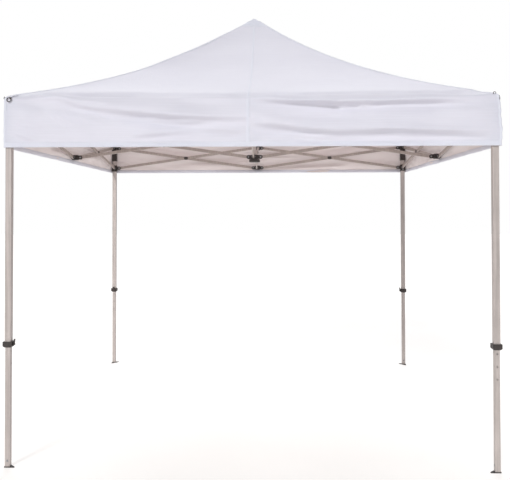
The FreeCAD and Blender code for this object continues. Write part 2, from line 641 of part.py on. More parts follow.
def roof_slab(name, half, hem, eave, peak):
    """Prism along Y under the roof's profile: upright walls, then a hollow curve to the peak."""
    sketch = doc.addObject("Sketcher::SketchObject", name + "_profile")
    sketch.Placement = Placement(Vector(), Rotation(Vector(1, 0, 0), 90))
    wide, low, edge, top = (number(text) for text in (half, hem, eave, peak))
    radius = VALUES["roof_radius"]
    chord = math.hypot(wide, top - edge)
    rise = math.sqrt(radius ** 2 - (chord / 2) ** 2)
    centre = Vector(wide / 2 + (top - edge) / chord * rise, (top + edge) / 2 + wide / chord * rise)

    def arc(sign):
        middle = Vector(sign * centre.x, centre.y)
        ends = [math.atan2(y - middle.y, x - middle.x) for x, y in ((0, top), (sign * wide, edge))]
        return Part.ArcOfCircle(Part.Circle(middle, Vector(0, 0, 1), radius), min(ends), max(ends))

    sketch.addGeometry(Part.LineSegment(Vector(-wide, low), Vector(wide, low)), False)
    sketch.addGeometry(Part.LineSegment(Vector(wide, low), Vector(wide, edge)), False)
    sketch.addGeometry(arc(1), False)
    sketch.addGeometry(arc(-1), False)
    sketch.addGeometry(Part.LineSegment(Vector(-wide, edge), Vector(-wide, low)), False)
    for first, first_end, second, second_end in ((0, 2, 1, 1), (1, 2, 2, 2), (2, 1, 3, 2), (3, 1, 4, 1),
                                                 (4, 2, 0, 1)):
        sketch.addConstraint(Sketcher.Constraint("Coincident", first, first_end, second, second_end))
    sketch.addConstraint(Sketcher.Constraint("Vertical", 1))
    sketch.addConstraint(Sketcher.Constraint("Vertical", 4))
    sketch.addConstraint(Sketcher.Constraint("Symmetric", 0, 1, 0, 2, -2))
    sketch.addConstraint(Sketcher.Constraint("PointOnObject", 2, 1, -2))
    sketch.addConstraint(Sketcher.Constraint("Equal", 1, 4))
    sketch.addConstraint(Sketcher.Constraint("Equal", 2, 3))
    size_constraint(sketch, "width", Sketcher.Constraint("DistanceX", 0, 1, 0, 2, 2 * wide), f"2 * ({half})")
    size_constraint(sketch, "hem", Sketcher.Constraint("DistanceY", -1, 1, 0, 2, low), hem)
    size_constraint(sketch, "eave", Sketcher.Constraint("DistanceY", -1, 1, 1, 2, edge), eave)
    size_constraint(sketch, "peak", Sketcher.Constraint("DistanceY", -1, 1, 2, 1, top), peak)
    size_constraint(sketch, "curve", Sketcher.Constraint("Radius", 2, radius), "roof_radius")
    slab = doc.addObject("Part::Extrusion", name)
    slab.Base = sketch
    slab.DirMode = "Normal"
    slab.Solid = True
    bind(slab, "LengthFwd", half)
    bind(slab, "LengthRev", half)
    return slab


def roof_block(name, half, hem, eave, peak):
    """The space under the canopy's surface: two crossed prisms that share their profile."""
    slab = roof_slab(name + "_slab", half, hem, eave, peak)
    common = doc.addObject("Part::Common", name)
    common.Base = slab
    common.Tool = group(name + "_crossed", [slab], 90)
    return common


def make_canopy():
    """Fabric top: square, hollow-sided pyramid with an upright valance, open underneath.

    It is sewn from one roof gore and one valance strip for each side, which meet at the hips, at the
    corners and just under the eave.
    """
    outside = roof_block("canopy_outside", "canopy_width / 2", "hem_height", "eave_height", "peak_height")
    inside = roof_block("canopy_inside", "canopy_width / 2 - canopy_thickness", "hem_height - overcut",
                        "eave_height - roof_thickness", "peak_height - roof_thickness")
    shell = cut("canopy_shell", outside, [inside])
    seam = "(eave_height - roof_thickness)"
    heights = {"gore": (seam, "peak_height + overcut"), "strip": ("hem_height - overcut", seam)}
    panels = {}
    for name, (low, high) in heights.items():
        quarter = block(name + "_quarter", ("0", "canopy_width"), ("0", "canopy_width"), (low, high))
        panels[name] = []
        for turn in range(45, 360, 90):
            panel = doc.addObject("Part::Common", f"{name}_{turn}")
            panel.Base = shell
            panel.Tool = group(f"{name}_quarter_{turn}", [quarter], turn)
            panels[name].append(panel)
    return panels


# ------------------------------------------------------------------ the whole frame

subparts = []


def subpart(name, solids, turn=0):
    """A finished sub-part: its solids as one object, turned about the canopy's axis."""
    item = group(name + "_node", solids, turn)
    item.Label = name
    subparts.append(item)


def make_inner_bars():
    """The two bars of the inner truss from the hubs to the right side."""
    x = f"end_pivot + {SCISSOR_WIDTH} / 2"
    bolts = [group(f"inner_{item.Name}", [item], 0, x=x, z=CROSSING_HEIGHT) for item in crossing]
    upper = tilted_bar("inner_bar_from_upper_hub", 1, "end_pivot", "truss_offset", "upper_pivot_height")
    lower = tilted_bar("inner_bar_from_lower_hub", -1, "end_pivot", "-truss_offset", "lower_pivot_height")
    return {"inner_bar_high": [upper] + bolts, "inner_bar_low": [lower]}


def make_edge_bars():
    """The four bars of the front side; high bars hang on the legs' top brackets."""
    bars = {}
    left, right = "-leg_spacing / 2 + end_pivot", "mid_pivot"
    for label, start, first, second in (("left", left, 1, -1), ("right", right, -1, 1)):
        high_start = "upper_pivot_height" if first > 0 else "lower_pivot_height"
        low_start = "lower_pivot_height" if first > 0 else "upper_pivot_height"
        outer, inner = "-leg_spacing / 2 - truss_offset", "-leg_spacing / 2 + truss_offset"
        high = tilted_bar(f"edge_high_{label}", first, start, outer, high_start)
        low = tilted_bar(f"edge_low_{label}", second, start, inner, low_start)
        middle = f"{start} + {SCISSOR_WIDTH} / 2"
        bolts = [
            group(f"edge_{item.Name}_{label}", [item], 0, x=middle, y="-leg_spacing / 2", z=CROSSING_HEIGHT)
            for item in crossing
        ]
        bars[label] = {"edge_bar_high": [high], "edge_bar_low": [low] + bolts}
    return bars


def at_front_left(name, solids):
    """Solids built on a leg's axis, moved to the front left leg."""
    return [group(name + "_at_corner", solids, 0, x="-leg_spacing / 2", y="-leg_spacing / 2")]


mid_top = make_mid_bracket("mid_top", "upper_pivot_height", 1, 1)
mid_bottom = make_mid_bracket("mid_bottom", "lower_pivot_height", -1, -1)
inner_bars = make_inner_bars()
edge_bars = make_edge_bars()
corner_pieces = {
    "upper_leg": [make_tube("upper_tube", "outer_tube", "outer_tube_bottom", "outer_tube_top")]
    + make_top_bracket() + make_collar(),
    "slider": make_slider(),
    "slider_pin": make_slider_pin(),
    "lower_leg": make_lower_leg(),
    "lock_lever": make_lever(),
}
corner_pieces = {name: at_front_left(name, solids) for name, solids in corner_pieces.items()}

canopy = make_canopy()
subpart("canopy_roof", canopy["gore"])
subpart("canopy_valance", canopy["strip"])
subpart("upper_hub", [make_upper_hub()])
subpart("lower_hub", [make_lower_hub()])
subpart("peak_pole", [make_peak_pole()])
subpart("peak_cap", [make_peak_cap()])
for quarter in range(4):
    side, corner = SIDES[quarter], CORNERS[quarter]
    turn = 90 * quarter
    for name, solids in inner_bars.items():
        subpart(f"{name}_{side}", solids, turn - 90)
    subpart(f"mid_top_bracket_{side}", [mid_top], turn)
    subpart(f"mid_bottom_bracket_{side}", [mid_bottom], turn)
    for half, bars in edge_bars.items():
        for name, solids in bars.items():
            subpart(f"{name}_{side}_{half}", solids, turn)
    for name, solids in corner_pieces.items():
        subpart(f"{name}_{corner}", solids, turn)

doc.recompute()
failed = [item.Name for item in doc.Objects if {"Invalid", "Error"} & set(item.State)]
if failed:
    raise RuntimeError(f"these objects failed: {failed}")
for item in subparts:
    if item.Shape.isNull() or not item.Shape.isValid() or not item.Shape.Solids:
        raise RuntimeError(f"{item.Label} has no valid solid")

os.makedirs("parts", exist_ok=True)
for item in subparts:
    item.Shape.exportStep(f"parts/{item.Label}.step")
    print(f"{item.Label}: {len(item.Shape.Solids)} solids, {item.Shape.Volume / 1000:.1f} cm3")
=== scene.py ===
import json
import math

import bmesh
import bpy
import numpy as np
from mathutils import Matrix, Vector

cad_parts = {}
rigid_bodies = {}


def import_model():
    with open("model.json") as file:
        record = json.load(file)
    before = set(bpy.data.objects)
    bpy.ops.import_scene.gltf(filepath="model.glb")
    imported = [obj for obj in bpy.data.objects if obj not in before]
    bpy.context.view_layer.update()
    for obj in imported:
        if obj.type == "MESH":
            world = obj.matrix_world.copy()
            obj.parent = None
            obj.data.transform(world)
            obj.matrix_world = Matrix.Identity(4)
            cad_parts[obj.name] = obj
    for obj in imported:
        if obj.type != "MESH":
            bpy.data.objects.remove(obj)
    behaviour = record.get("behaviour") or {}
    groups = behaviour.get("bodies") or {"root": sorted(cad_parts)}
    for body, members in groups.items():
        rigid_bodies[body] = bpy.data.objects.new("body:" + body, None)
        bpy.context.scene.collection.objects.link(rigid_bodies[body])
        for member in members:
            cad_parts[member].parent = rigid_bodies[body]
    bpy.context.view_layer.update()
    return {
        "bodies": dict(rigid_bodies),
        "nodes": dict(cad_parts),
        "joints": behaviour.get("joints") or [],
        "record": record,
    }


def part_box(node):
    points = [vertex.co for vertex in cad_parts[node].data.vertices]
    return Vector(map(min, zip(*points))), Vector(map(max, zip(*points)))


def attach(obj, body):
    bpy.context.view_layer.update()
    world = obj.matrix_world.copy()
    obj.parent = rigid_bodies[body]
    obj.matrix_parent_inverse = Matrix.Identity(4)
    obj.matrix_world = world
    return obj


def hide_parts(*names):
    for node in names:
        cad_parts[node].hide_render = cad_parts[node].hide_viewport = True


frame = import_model()

# A pop up canopy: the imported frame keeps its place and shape. This script dresses it, and builds the
# fabric top as one continuous sheet with its seams, hems, patches and rings. Metres, front side at -Y.
#
# On the fabric, "side" counts front, right, back, left; "share" runs from -1 to 1 along a side, left to
# right as seen from outside; "run" is the way along the cloth from the peak over the eave to the hem.

SIDES = ("front", "right", "back", "left")
CORNERS = ("front_left", "front_right", "back_right", "back_left")
ROOT = "canopy_and_upper_hub"

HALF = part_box("canopy_valance")[1].x
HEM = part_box("canopy_valance")[0].z
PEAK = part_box("canopy_roof")[1].z
EAVE = 2.262
# The roof's hollow arc, how the peak is rounded off, and how far the rounded eave reaches in and down
ROOF_RADIUS = 3.785
PEAK_ROUND = 0.009
EAVE_REACH = 0.060
EAVE_DROP = 0.022
# The legs' distance from each middle plane, and the heights of the bolts in the upper and lower brackets
LEG = 1.475
UPPER_PIVOT = 2.196
LOWER_PIVOT = 1.996
CLOTH_THICKNESS = 0.0008
# How far to both sides of a point of the cloth its slope is taken
STEP = 0.002
# Distances from the axis count as no less than this where something is divided by them
LEAST_OUT = 0.02
SHARP_ANGLE = math.radians(35)


# ------------------------------------------------------------------ numbers

def smooth(low, high, value):
    """0 below low, 1 above high, and a smooth step between them."""
    t = np.clip((value - low) / (high - low), 0, 1)
    return t * t * (3 - 2 * t)


def bell(value, width):
    """1 where the value is 0, falling away smoothly to both sides."""
    return np.exp(-(value / width) ** 2)


def ripple(seed, x, y, x_length, y_length):
    """Seeded smooth noise, about -1 to 1, with the given wave lengths along x and y."""
    waves = 9
    draw = np.random.default_rng(seed)
    total = 0
    for _ in range(waves):
        turn, phase = draw.uniform(0, math.pi), draw.uniform(0, 2 * math.pi)
        stretch = draw.uniform(0.6, 1.6)
        across, along = math.cos(turn) / x_length, math.sin(turn) / y_length
        total = total + np.sin(2 * math.pi * stretch * (x * across + y * along) + phase)
    return total / math.sqrt(waves) / 1.4


def turned(points, quarter):
    """Points turned by quarter turns about the canopy's upright axis."""
    c, s = ((1, 0), (0, 1), (-1, 0), (0, -1))[quarter % 4]
    x, y, z = points[..., 0], points[..., 1], points[..., 2]
    return np.stack([c * x - s * y, s * x + c * y, z], axis=-1)


def unit(vectors):
    """Vectors at length 1."""
    return vectors / np.maximum(np.linalg.norm(vectors, axis=-1, keepdims=True), 1e-12)


# ------------------------------------------------------------------ meshes

def new_piece(name, points, faces, material, uv=None, smooth_faces=True):
    """A mesh object. uv has one pair per point, or one per face corner."""
    mesh = bpy.data.meshes.new(name)
    mesh.from_pydata(np.asarray(points, float).reshape(-1, 3).tolist(), [], faces)
    mesh.polygons.foreach_set("use_smooth", [smooth_faces] * len(mesh.polygons))
    if uv is not None:
        corners = np.zeros(len(mesh.loops), np.int32)
        mesh.loops.foreach_get("vertex_index", corners)
        uv = np.asarray(uv, float).reshape(-1, 2)
        pairs = uv if len(uv) == len(corners) and len(uv) != len(mesh.vertices) else uv[corners]
        mesh.uv_layers.new(name="cloth").data.foreach_set("uv", pairs.astype(np.float32).ravel())
    mesh.materials.append(material)
    piece = bpy.data.objects.new(name, mesh)
    bpy.context.scene.collection.objects.link(piece)
    return piece


def grid_faces(rows, columns, closed=False, start=0):
    """Faces of a grid of points; closed joins its last column to its first."""
    faces = []
    for i in range(rows - 1):
        for j in range(columns if closed else columns - 1):
            right = (j + 1) % columns
            faces.append((start + i * columns + j, start + i * columns + right,
                          start + (i + 1) * columns + right, start + (i + 1) * columns + j))
    return faces


def lengths(line):
    """Length of a line from its first point to each of its points."""
    return np.concatenate([[0], np.cumsum(np.linalg.norm(np.diff(line, axis=0), axis=1))])


def ribbon(name, bands, material):
    """Strips of cloth, each an array of cross-sections, joined in one piece, with uv in metres."""
    points, faces, uv = [], [], []
    count = 0
    for band in bands:
        rows, columns = band.shape[:2]
        points.append(band.reshape(-1, 3))
        uv.append(np.stack(np.meshgrid(lengths(band[0]), lengths(band[:, 0])), axis=-1).reshape(-1, 2))
        faces += grid_faces(rows, columns, start=count)
        count += rows * columns
    return new_piece(name, np.concatenate(points), faces, material, np.concatenate(uv))


def tube(name, path, radius, material, closed=False):
    """A round bar along a path of points."""
    sides = 12
    path = np.asarray(path, float)
    ahead = np.roll(path, -1, axis=0) - np.roll(path, 1, axis=0)
    if not closed:
        ahead[0], ahead[-1] = path[1] - path[0], path[-1] - path[-2]
    ahead = unit(ahead)
    helper = np.array([0.31, 0.17, 0.93]) if abs(ahead[0][2]) < 0.9 else np.array([0.93, 0.31, 0.17])
    side = unit(np.cross(ahead, helper))
    other = np.cross(ahead, side)
    turn = np.linspace(0, 2 * math.pi, sides, endpoint=False)
    round_it = np.cos(turn)[:, None] * side[:, None] + np.sin(turn)[:, None] * other[:, None]
    rings = path[:, None] + radius * round_it
    count = len(path)
    faces = grid_faces(count, sides, closed=True)
    if closed:
        last = (count - 1) * sides
        faces += [(last + j, last + (j + 1) % sides, (j + 1) % sides, j) for j in range(sides)]
    else:
        faces += [tuple(reversed(range(sides))), tuple((count - 1) * sides + j for j in range(sides))]
    return new_piece(name, rings, faces, material)


def round_edges(piece, width):
    """Rounds a piece's sharp edges."""
    bevel = piece.modifiers.new("rounded_edges", "BEVEL")
    bevel.width = width
    bevel.segments = 2
    bevel.limit_method = "ANGLE"
    bevel.angle_limit = SHARP_ANGLE
    bevel.harden_normals = True


# ------------------------------------------------------------------ materials

class Nodes:
    """A material's node tree, with short ways to add what these materials are made of."""

    def __init__(self, name, roughness, metallic=0.0, sheen=0.0):
        self.material = bpy.data.materials.new(name)
        self.material.use_nodes = True
        self.tree = self.material.node_tree
        self.shader = self.tree.nodes["Principled BSDF"]
        self.shader.inputs["Roughness"].default_value = roughness
        self.shader.inputs["Metallic"].default_value = metallic
        self.shader.inputs["Sheen Weight"].default_value = sheen

    def add(self, kind, **settings):
        """A new node; each setting is the value of an input, or a property of the node."""
        node = self.tree.nodes.new(kind)
        for key, value in settings.items():
            if key in node.inputs:
                node.inputs[key].default_value = value
            else:
                setattr(node, key, value)
        return node

    def link(self, source, target):
        self.tree.links.new(source, target)

    def place(self, output="Object", scale=(1, 1, 1)):
        """Texture coordinates, stretched by a scale along each axis."""
        mapping = self.add("ShaderNodeMapping")
        mapping.inputs["Scale"].default_value = scale
        self.link(self.add("ShaderNodeTexCoord").outputs[output], mapping.inputs["Vector"])
        return mapping.outputs["Vector"]

    def noise(self, where, scale, detail=3.0, roughness=0.55):
        """Soft noise at a place given in texture coordinates."""
        node = self.add("ShaderNodeTexNoise", Scale=scale, Detail=detail, Roughness=roughness)
        self.link(where, node.inputs["Vector"])
        return node.outputs["Fac"]

    def ramp(self, value, low, high, first, last):
        """Colours or greys from first to last as value goes from low to high."""
        node = self.add("ShaderNodeValToRGB")
        node.color_ramp.elements[0].position = low
        node.color_ramp.elements[1].position = high
        for element, colour in zip(node.color_ramp.elements, (first, last)):
            element.color = (*colour, 1) if hasattr(colour, "__len__") else (colour, colour, colour, 1)
        self.link(value, node.inputs["Fac"])
        return node.outputs["Color"]

    def tint(self, first, second):
        """One colour multiplied by another."""
        node = self.add("ShaderNodeMix", data_type="RGBA", blend_type="MULTIPLY")
        node.inputs["Factor"].default_value = 1.0
        self.link(first, node.inputs["A"])
        self.link(second, node.inputs["B"])
        return node.outputs["Result"]

    def product(self, first, second):
        """One number multiplied by another."""
        node = self.add("ShaderNodeMath", operation="MULTIPLY")
        self.link(first, node.inputs[0])
        self.link(second, node.inputs[1])
        return node.outputs["Value"]

    def bump(self, height, strength, distance, onto=None):
        """Normals of a small relief, on top of another's where one is given."""
        node = self.add("ShaderNodeBump", Strength=strength, Distance=distance)
        self.link(height, node.inputs["Height"])
        if onto is not None:
            self.link(onto, node.inputs["Normal"])
        return node.outputs["Normal"]

    def finish(self, colour, normal, roughness=None):
        """Links what was made to the shader, and returns the material."""
        self.link(colour, self.shader.inputs["Base Color"])
        self.link(normal, self.shader.inputs["Normal"])
        if roughness is not None:
            self.link(roughness, self.shader.inputs["Roughness"])
        return self.material


THROUGH_CLOTH = (0.86, 0.80, 0.79, 1)


def cloth_material(name, light, dark, see_through, thread=0.0011):
    """Woven polyester: crossing threads from the cloth's own uv, soft mottling and light through it.

    thread is the width of one thread, and see_through the share of the light that comes through.
    """
    n = Nodes(name, roughness=0.62, sheen=0.25)
    uv = n.place("UV")
    # A wave texture of scale 1 has its bands 2 pi / 20 apart
    scale = 2 * math.pi / thread / 20
    warp, weft = (n.add("ShaderNodeTexWave", bands_direction=axis, wave_profile="SIN", Scale=scale,
                        Distortion=0.0) for axis in "XY")
    for wave in (warp, weft):
        n.link(uv, wave.inputs["Vector"])
    weave = n.product(warp.outputs["Fac"], weft.outputs["Fac"])
    slubs = n.noise(n.place("UV", (3, 260, 1)), 1.0, 4.0)
    mottle = n.noise(n.place("Object"), 1.7, 4.0)
    base = n.ramp(mottle, 0.35, 0.68, dark, light)
    streaks = n.ramp(slubs, 0.3, 0.72, 0.93, 1.0)
    colour = n.tint(base, streaks)
    rough = n.ramp(slubs, 0.3, 0.7, 0.55, 0.72)
    crumple = n.bump(n.noise(n.place("Object"), 16.0, 5.0), 0.35, 0.004)
    normal = n.bump(weave, 0.25, 0.0004, n.bump(slubs, 0.18, 0.0006, crumple))
    n.finish(colour, normal, rough)
    if see_through:
        glow = n.add("ShaderNodeBsdfTranslucent")
        glow.inputs["Color"].default_value = THROUGH_CLOTH
        n.link(normal, glow.inputs["Normal"])
        blend = n.add("ShaderNodeMixShader", Fac=see_through)
        n.link(n.shader.outputs["BSDF"], blend.inputs[1])
        n.link(glow.outputs["BSDF"], blend.inputs[2])
        n.link(blend.outputs["Shader"], n.tree.nodes["Material Output"].inputs["Surface"])
    return n.material


def paint_material(name, light, dark):
    """Satin powder coat over steel: orange peel, soft mottling and long faint rub marks."""
    n = Nodes(name, roughness=0.42, metallic=0.35)
    place = n.place()
    mottle = n.ramp(n.noise(place, 9.0, 5.0), 0.35, 0.7, dark, light)
    rubs = n.noise(n.place(scale=(90, 90, 2.2)), 1.0, 3.0)
    colour = n.tint(mottle, n.ramp(rubs, 0.38, 0.62, 0.86, 1.06))
    peel = n.bump(n.noise(place, 700.0, 2.0), 0.22, 0.0004)
    rough = n.ramp(rubs, 0.3, 0.7, 0.34, 0.52)
    return n.finish(colour, n.bump(rubs, 0.12, 0.0004, peel), rough)


def plastic_material(name, light, dark):
    """Moulded nylon: fine spark grain, paler scuffs and slightly uneven gloss."""
    n = Nodes(name, roughness=0.5)
    place = n.place()
    grain = n.noise(place, 1500.0, 2.0)
    scuffs = n.noise(place, 38.0, 6.0, 0.7)
    colour = n.ramp(scuffs, 0.42, 0.75, dark, light)
    rough = n.ramp(scuffs, 0.35, 0.7, 0.42, 0.66)
    flow = n.bump(n.noise(place, 60.0, 2.0), 0.1, 0.0008)
    return n.finish(colour, n.bump(grain, 0.3, 0.0003, flow), rough)


def steel_material(name, light, dark):
    """Zinc plated steel with fine turned marks and dull spots."""
    n = Nodes(name, roughness=0.35, metallic=0.9)
    place = n.place()
    spots = n.noise(place, 240.0, 4.0)
    lines = n.noise(n.place(scale=(1, 1, 14)), 320.0, 2.0)
    colour = n.ramp(spots, 0.35, 0.7, dark, light)
    return n.finish(colour, n.bump(lines, 0.2, 0.0003), n.ramp(spots, 0.3, 0.7, 0.3, 0.5))


def thread_material(name, light, dark):
    """Sewing thread with a fine twist."""
    n = Nodes(name, roughness=0.7, sheen=0.3)
    twist = n.noise(n.place(), 900.0, 2.0)
    return n.finish(n.ramp(twist, 0.3, 0.7, dark, light), n.bump(twist, 0.4, 0.0003))


def floor_material(name):
    """Pale floor that glows, so that the shadow on it stays light."""
    n = Nodes(name, roughness=0.7)
    grain = n.noise(n.place(), 1.3, 6.0)
    fine = n.noise(n.place(), 90.0, 3.0)
    n.shader.inputs["Emission Color"].default_value = (1.0, 0.975, 0.955, 1)
    n.shader.inputs["Emission Strength"].default_value = 0.62
    colour = n.ramp(grain, 0.3, 0.7, (0.44, 0.43, 0.42), (0.48, 0.47, 0.46))
    return n.finish(colour, n.bump(fine, 0.05, 0.001))


CLOTH_WHITE = cloth_material("polyester", (0.83, 0.855, 0.965), (0.79, 0.815, 0.93), 0.30)
# The inside face is the same polyester, coloured warmer and brighter than the outside: painted warm light for
# the light bounced and let through under the canopy
CLOTH_INSIDE_PAINTED_WARM_LIGHT = cloth_material("polyester_inside_painted_warm_light", (0.96, 0.885, 0.865), (0.92, 0.845, 0.825), 0.30)
TRIM_WHITE = cloth_material("polyester_trim", (0.84, 0.865, 0.97), (0.81, 0.835, 0.94), 0.26, 0.0016)
WEBBING = cloth_material("webbing", (0.80, 0.80, 0.85), (0.70, 0.70, 0.76), 0.0, 0.0022)
THREAD = thread_material("thread", (0.95, 0.95, 0.97), (0.84, 0.84, 0.88))
PAINT = paint_material("powder_coat", (0.53, 0.475, 0.455), (0.47, 0.42, 0.40))
# The bars get the legs' powder coat made darker: painted shade for the shade under the canopy
SHADED_BAR_PAINT = paint_material("bar_powder_coat_painted_shade", (0.43, 0.365, 0.34), (0.37, 0.315, 0.29))
PLASTIC = plastic_material("black_nylon", (0.055, 0.043, 0.04), (0.026, 0.020, 0.019))
STEEL = steel_material("zinc_bolts", (0.42, 0.42, 0.43), (0.22, 0.22, 0.23))


# ------------------------------------------------------------------ the fabric's surface

def roof_height(out):
    """Height of the roof at a distance from the axis: a hollow arc from eave to peak, rounded on top."""
    chord = math.hypot(HALF, PEAK - EAVE)
    rise = math.sqrt(ROOF_RADIUS ** 2 - (chord / 2) ** 2)
    middle_out = HALF / 2 + (PEAK - EAVE) / chord * rise
    middle_up = (PEAK + EAVE) / 2 + HALF / chord * rise
    return middle_up - np.sqrt(ROOF_RADIUS ** 2 - (np.hypot(out, PEAK_ROUND) - middle_out) ** 2)


def make_profile():
    """Cloth from peak to hem at the middle of a side: runs, distances from the axis, heights, eave's run."""
    roof_out = np.linspace(0, HALF - EAVE_REACH, 400)
    roof = np.stack([roof_out, roof_height(roof_out)], axis=1)
    slope = unit(roof[-1] - roof[-2])
    bottom = np.array([HALF, EAVE - EAVE_DROP])
    # The eave is a Bezier curve from the roof's slope to straight down
    pulls = [roof[-1], roof[-1] + 0.6 * EAVE_REACH * slope, bottom + [0, 0.8 * EAVE_DROP], bottom]
    t = np.linspace(0, 1, 60)[1:, None]
    weights = ((1 - t) ** 3, 3 * t * (1 - t) ** 2, 3 * t ** 2 * (1 - t), t ** 3)
    bend = sum(pull * weight for pull, weight in zip(pulls, weights))
    drop = np.stack([np.full(80, HALF), np.linspace(bottom[1], HEM, 81)[1:]], axis=1)
    line = np.concatenate([roof, bend, drop])
    run = lengths(line)
    middle_of_bend = len(roof) + len(bend) // 2 + 1
    return run, line[:, 0], line[:, 1], run[middle_of_bend]


PROFILE_RUN, PROFILE_OUT, PROFILE_UP, EAVE_RUN = make_profile()
HEM_RUN = PROFILE_RUN[-1]


def profile_at(run):
    """Distance from the axis and height at a run, at the middle of a side."""
    return np.interp(run, PROFILE_RUN, PROFILE_OUT), np.interp(run, PROFILE_RUN, PROFILE_UP)


# Each fold: start and end as (metres along the side from its middle, metres below the eave), then the
# width of its rise, the width of its fall, its height and its bow. Depths below zero lie on the roof.
FRONT_FOLDS = [
    ((-1.42, -0.010), (-0.66, 0.125), 0.045, 0.022, 0.026, 0.006),
    ((-0.98, 0.085), (0.10, 0.166), 0.050, 0.020, 0.034, 0.022),
    ((-1.32, 0.045), (-0.76, 0.190), 0.030, 0.015, 0.013, 0.004),
    ((-1.28, 0.070), (-1.00, 0.250), 0.022, 0.013, 0.010, 0.004),
    ((-0.60, 0.000), (0.25, 0.050), 0.040, 0.020, 0.010, 0.012),
    ((-0.76, 0.262), (-0.34, 0.230), 0.024, 0.012, 0.013, 0.004),
    ((-0.32, 0.215), (0.02, 0.238), 0.030, 0.014, 0.014, 0.004),
    ((-1.48, 0.225), (-1.28, 0.295), 0.016, 0.009, 0.010, 0.004),
    ((-1.47, 0.175), (-1.26, 0.215), 0.016, 0.009, 0.007, 0.004),
    ((-0.02, 0.034), (0.68, 0.072), 0.040, 0.017, 0.024, 0.010),
    ((0.34, 0.074), (1.50, 0.042), 0.045, 0.018, 0.032, -0.004),
    ((-0.04, 0.184), (0.62, 0.250), 0.045, 0.019, 0.030, 0.0),
    ((0.36, 0.242), (1.52, 0.250), 0.050, 0.019, 0.032, -0.006),
    ((0.10, 0.110), (0.80, 0.128), 0.026, 0.016, 0.008, 0.006),
    ((0.50, 0.160), (1.56, 0.158), 0.045, 0.035, 0.016, 0.004),
    ((0.44, 0.048), (0.60, 0.108), 0.014, 0.009, 0.010, 0.0),
    ((0.54, 0.044), (0.73, 0.102), 0.014, 0.009, 0.010, 0.0),
    ((0.63, 0.040), (0.82, 0.078), 0.013, 0.009, 0.008, 0.0),
    ((-1.40, -0.020), (-0.55, -0.120), 0.045, 0.045, 0.008, 0.020),
    ((1.42, -0.020), (0.60, -0.110), 0.045, 0.045, 0.008, 0.020),
]


def drawn_folds(seed):
    """Folds like the front's for another side, drawn from a seed."""
    draw = np.random.default_rng(seed)
    folds = []
    for sign in (-1, 1):
        reach, drop = draw.uniform(0.6, 1.1), draw.uniform(0.06, 0.15)
        end = (sign * (1.42 - reach), 0.02 + drop)
        folds.append(((sign * 1.42, 0.0), end, 0.045, 0.020, 0.030, 0.012))
        end = (sign * 0.6, -draw.uniform(0.08, 0.13))
        folds.append(((sign * 1.42, -0.02), end, 0.045, 0.045, 0.008, 0.02))
        end = (sign * 1.27, 0.20 + draw.uniform(0.02, 0.08))
        folds.append(((sign * 1.48, 0.20), end, 0.016, 0.008, 0.009, 0.004))
    for depth in (0.05, 0.11, 0.17, 0.215, 0.255):
        middle, reach = draw.uniform(-0.8, 0.8), draw.uniform(0.22, 0.6)
        tilt, bow = draw.uniform(-0.03, 0.03), draw.uniform(-0.015, 0.015)
        rise_width, fall_width = draw.uniform(0.028, 0.045), draw.uniform(0.014, 0.020)
        folds.append(((middle - reach, depth - tilt), (middle + reach, depth + tilt),
                      rise_width, fall_width, draw.uniform(0.012, 0.030), bow))
    return folds


LARGE_FOLD = 0.018
CREASES_PER_FOLD = 4


def with_creases(folds, seed):
    """Adds fine creases that run along each large fold."""
    draw = np.random.default_rng(seed)
    creases = []
    for (x0, s0), (x1, s1), _, _, height, bow in folds:
        if height < LARGE_FOLD:
            continue
        for _ in range(CREASES_PER_FOLD):
            first, last = draw.uniform(0.0, 0.5), draw.uniform(0.6, 1.05)
            shift, tilt = draw.uniform(-0.020, 0.050), draw.uniform(-0.014, 0.014)
            start = (x0 + first * (x1 - x0), s0 + first * (s1 - s0) + shift - tilt)
            end = (x0 + last * (x1 - x0), s0 + last * (s1 - s0) + shift + tilt)
            creases.append((start, end, 0.013, 0.008, draw.uniform(0.003, 0.008), bow / 2))
    return folds + creases


SIDE_FOLDS = [with_creases(FRONT_FOLDS, 5)]
SIDE_FOLDS += [with_creases(drawn_folds(seed), seed) for seed in (11, 23, 37)]
# For each corner: how far the lower half of the valance bulges, how far the eave is pulled in and lifted
# over the leg, how deep the small puckers along the seam are, and how far the hip rises near the peak
CORNER_BULGE = (0.002, 0.008, 0.006, 0.005)
CORNER_PULL = (0.002, 0.046, 0.010, 0.018)
CORNER_LIFT = (0.0, 0.003, 0.003, 0.006)
CORNER_PUCKER = (0.0008, 0.0030, 0.0015, 0.002)
HIP_RISE = (0.012, 0.0, 0.004, 0.002)


def fold_height(fold, along, depth):
    """A fold that hangs over: a rounded rise above its line, a steep fall at the line, a trough below it."""
    (x0, s0), (x1, s1), rise_width, fall_width, height, bow = fold
    length = math.hypot(x1 - x0, s1 - s0)
    ahead = np.array([x1 - x0, s1 - s0]) / length
    t = ((along - x0) * ahead[0] + (depth - s0) * ahead[1]) / length
    below = (-(along - x0) * ahead[1] + (depth - s0) * ahead[0]) * np.sign(ahead[0])
    below = below - bow * np.sin(math.pi * np.clip(t, 0, 1)) + fall_width
    fade = smooth(-0.05, 0.3, t) * (1 - smooth(0.6, 1.05, t))
    rise = np.exp(-0.5 * (below / np.where(below < 0, rise_width, fall_width)) ** 2)
    trough = np.exp(-0.5 * (below / fall_width / 1.2 - 2) ** 2)
    return height * fade * (rise - 0.45 * trough)


def near_brackets(along):
    """1 where brackets stand close behind the valance, 0 elsewhere."""
    ends = smooth(1.36, 1.40, np.abs(along))
    middle = 1 - smooth(0.08, 0.12, np.abs(along))
    return np.maximum(ends, middle)


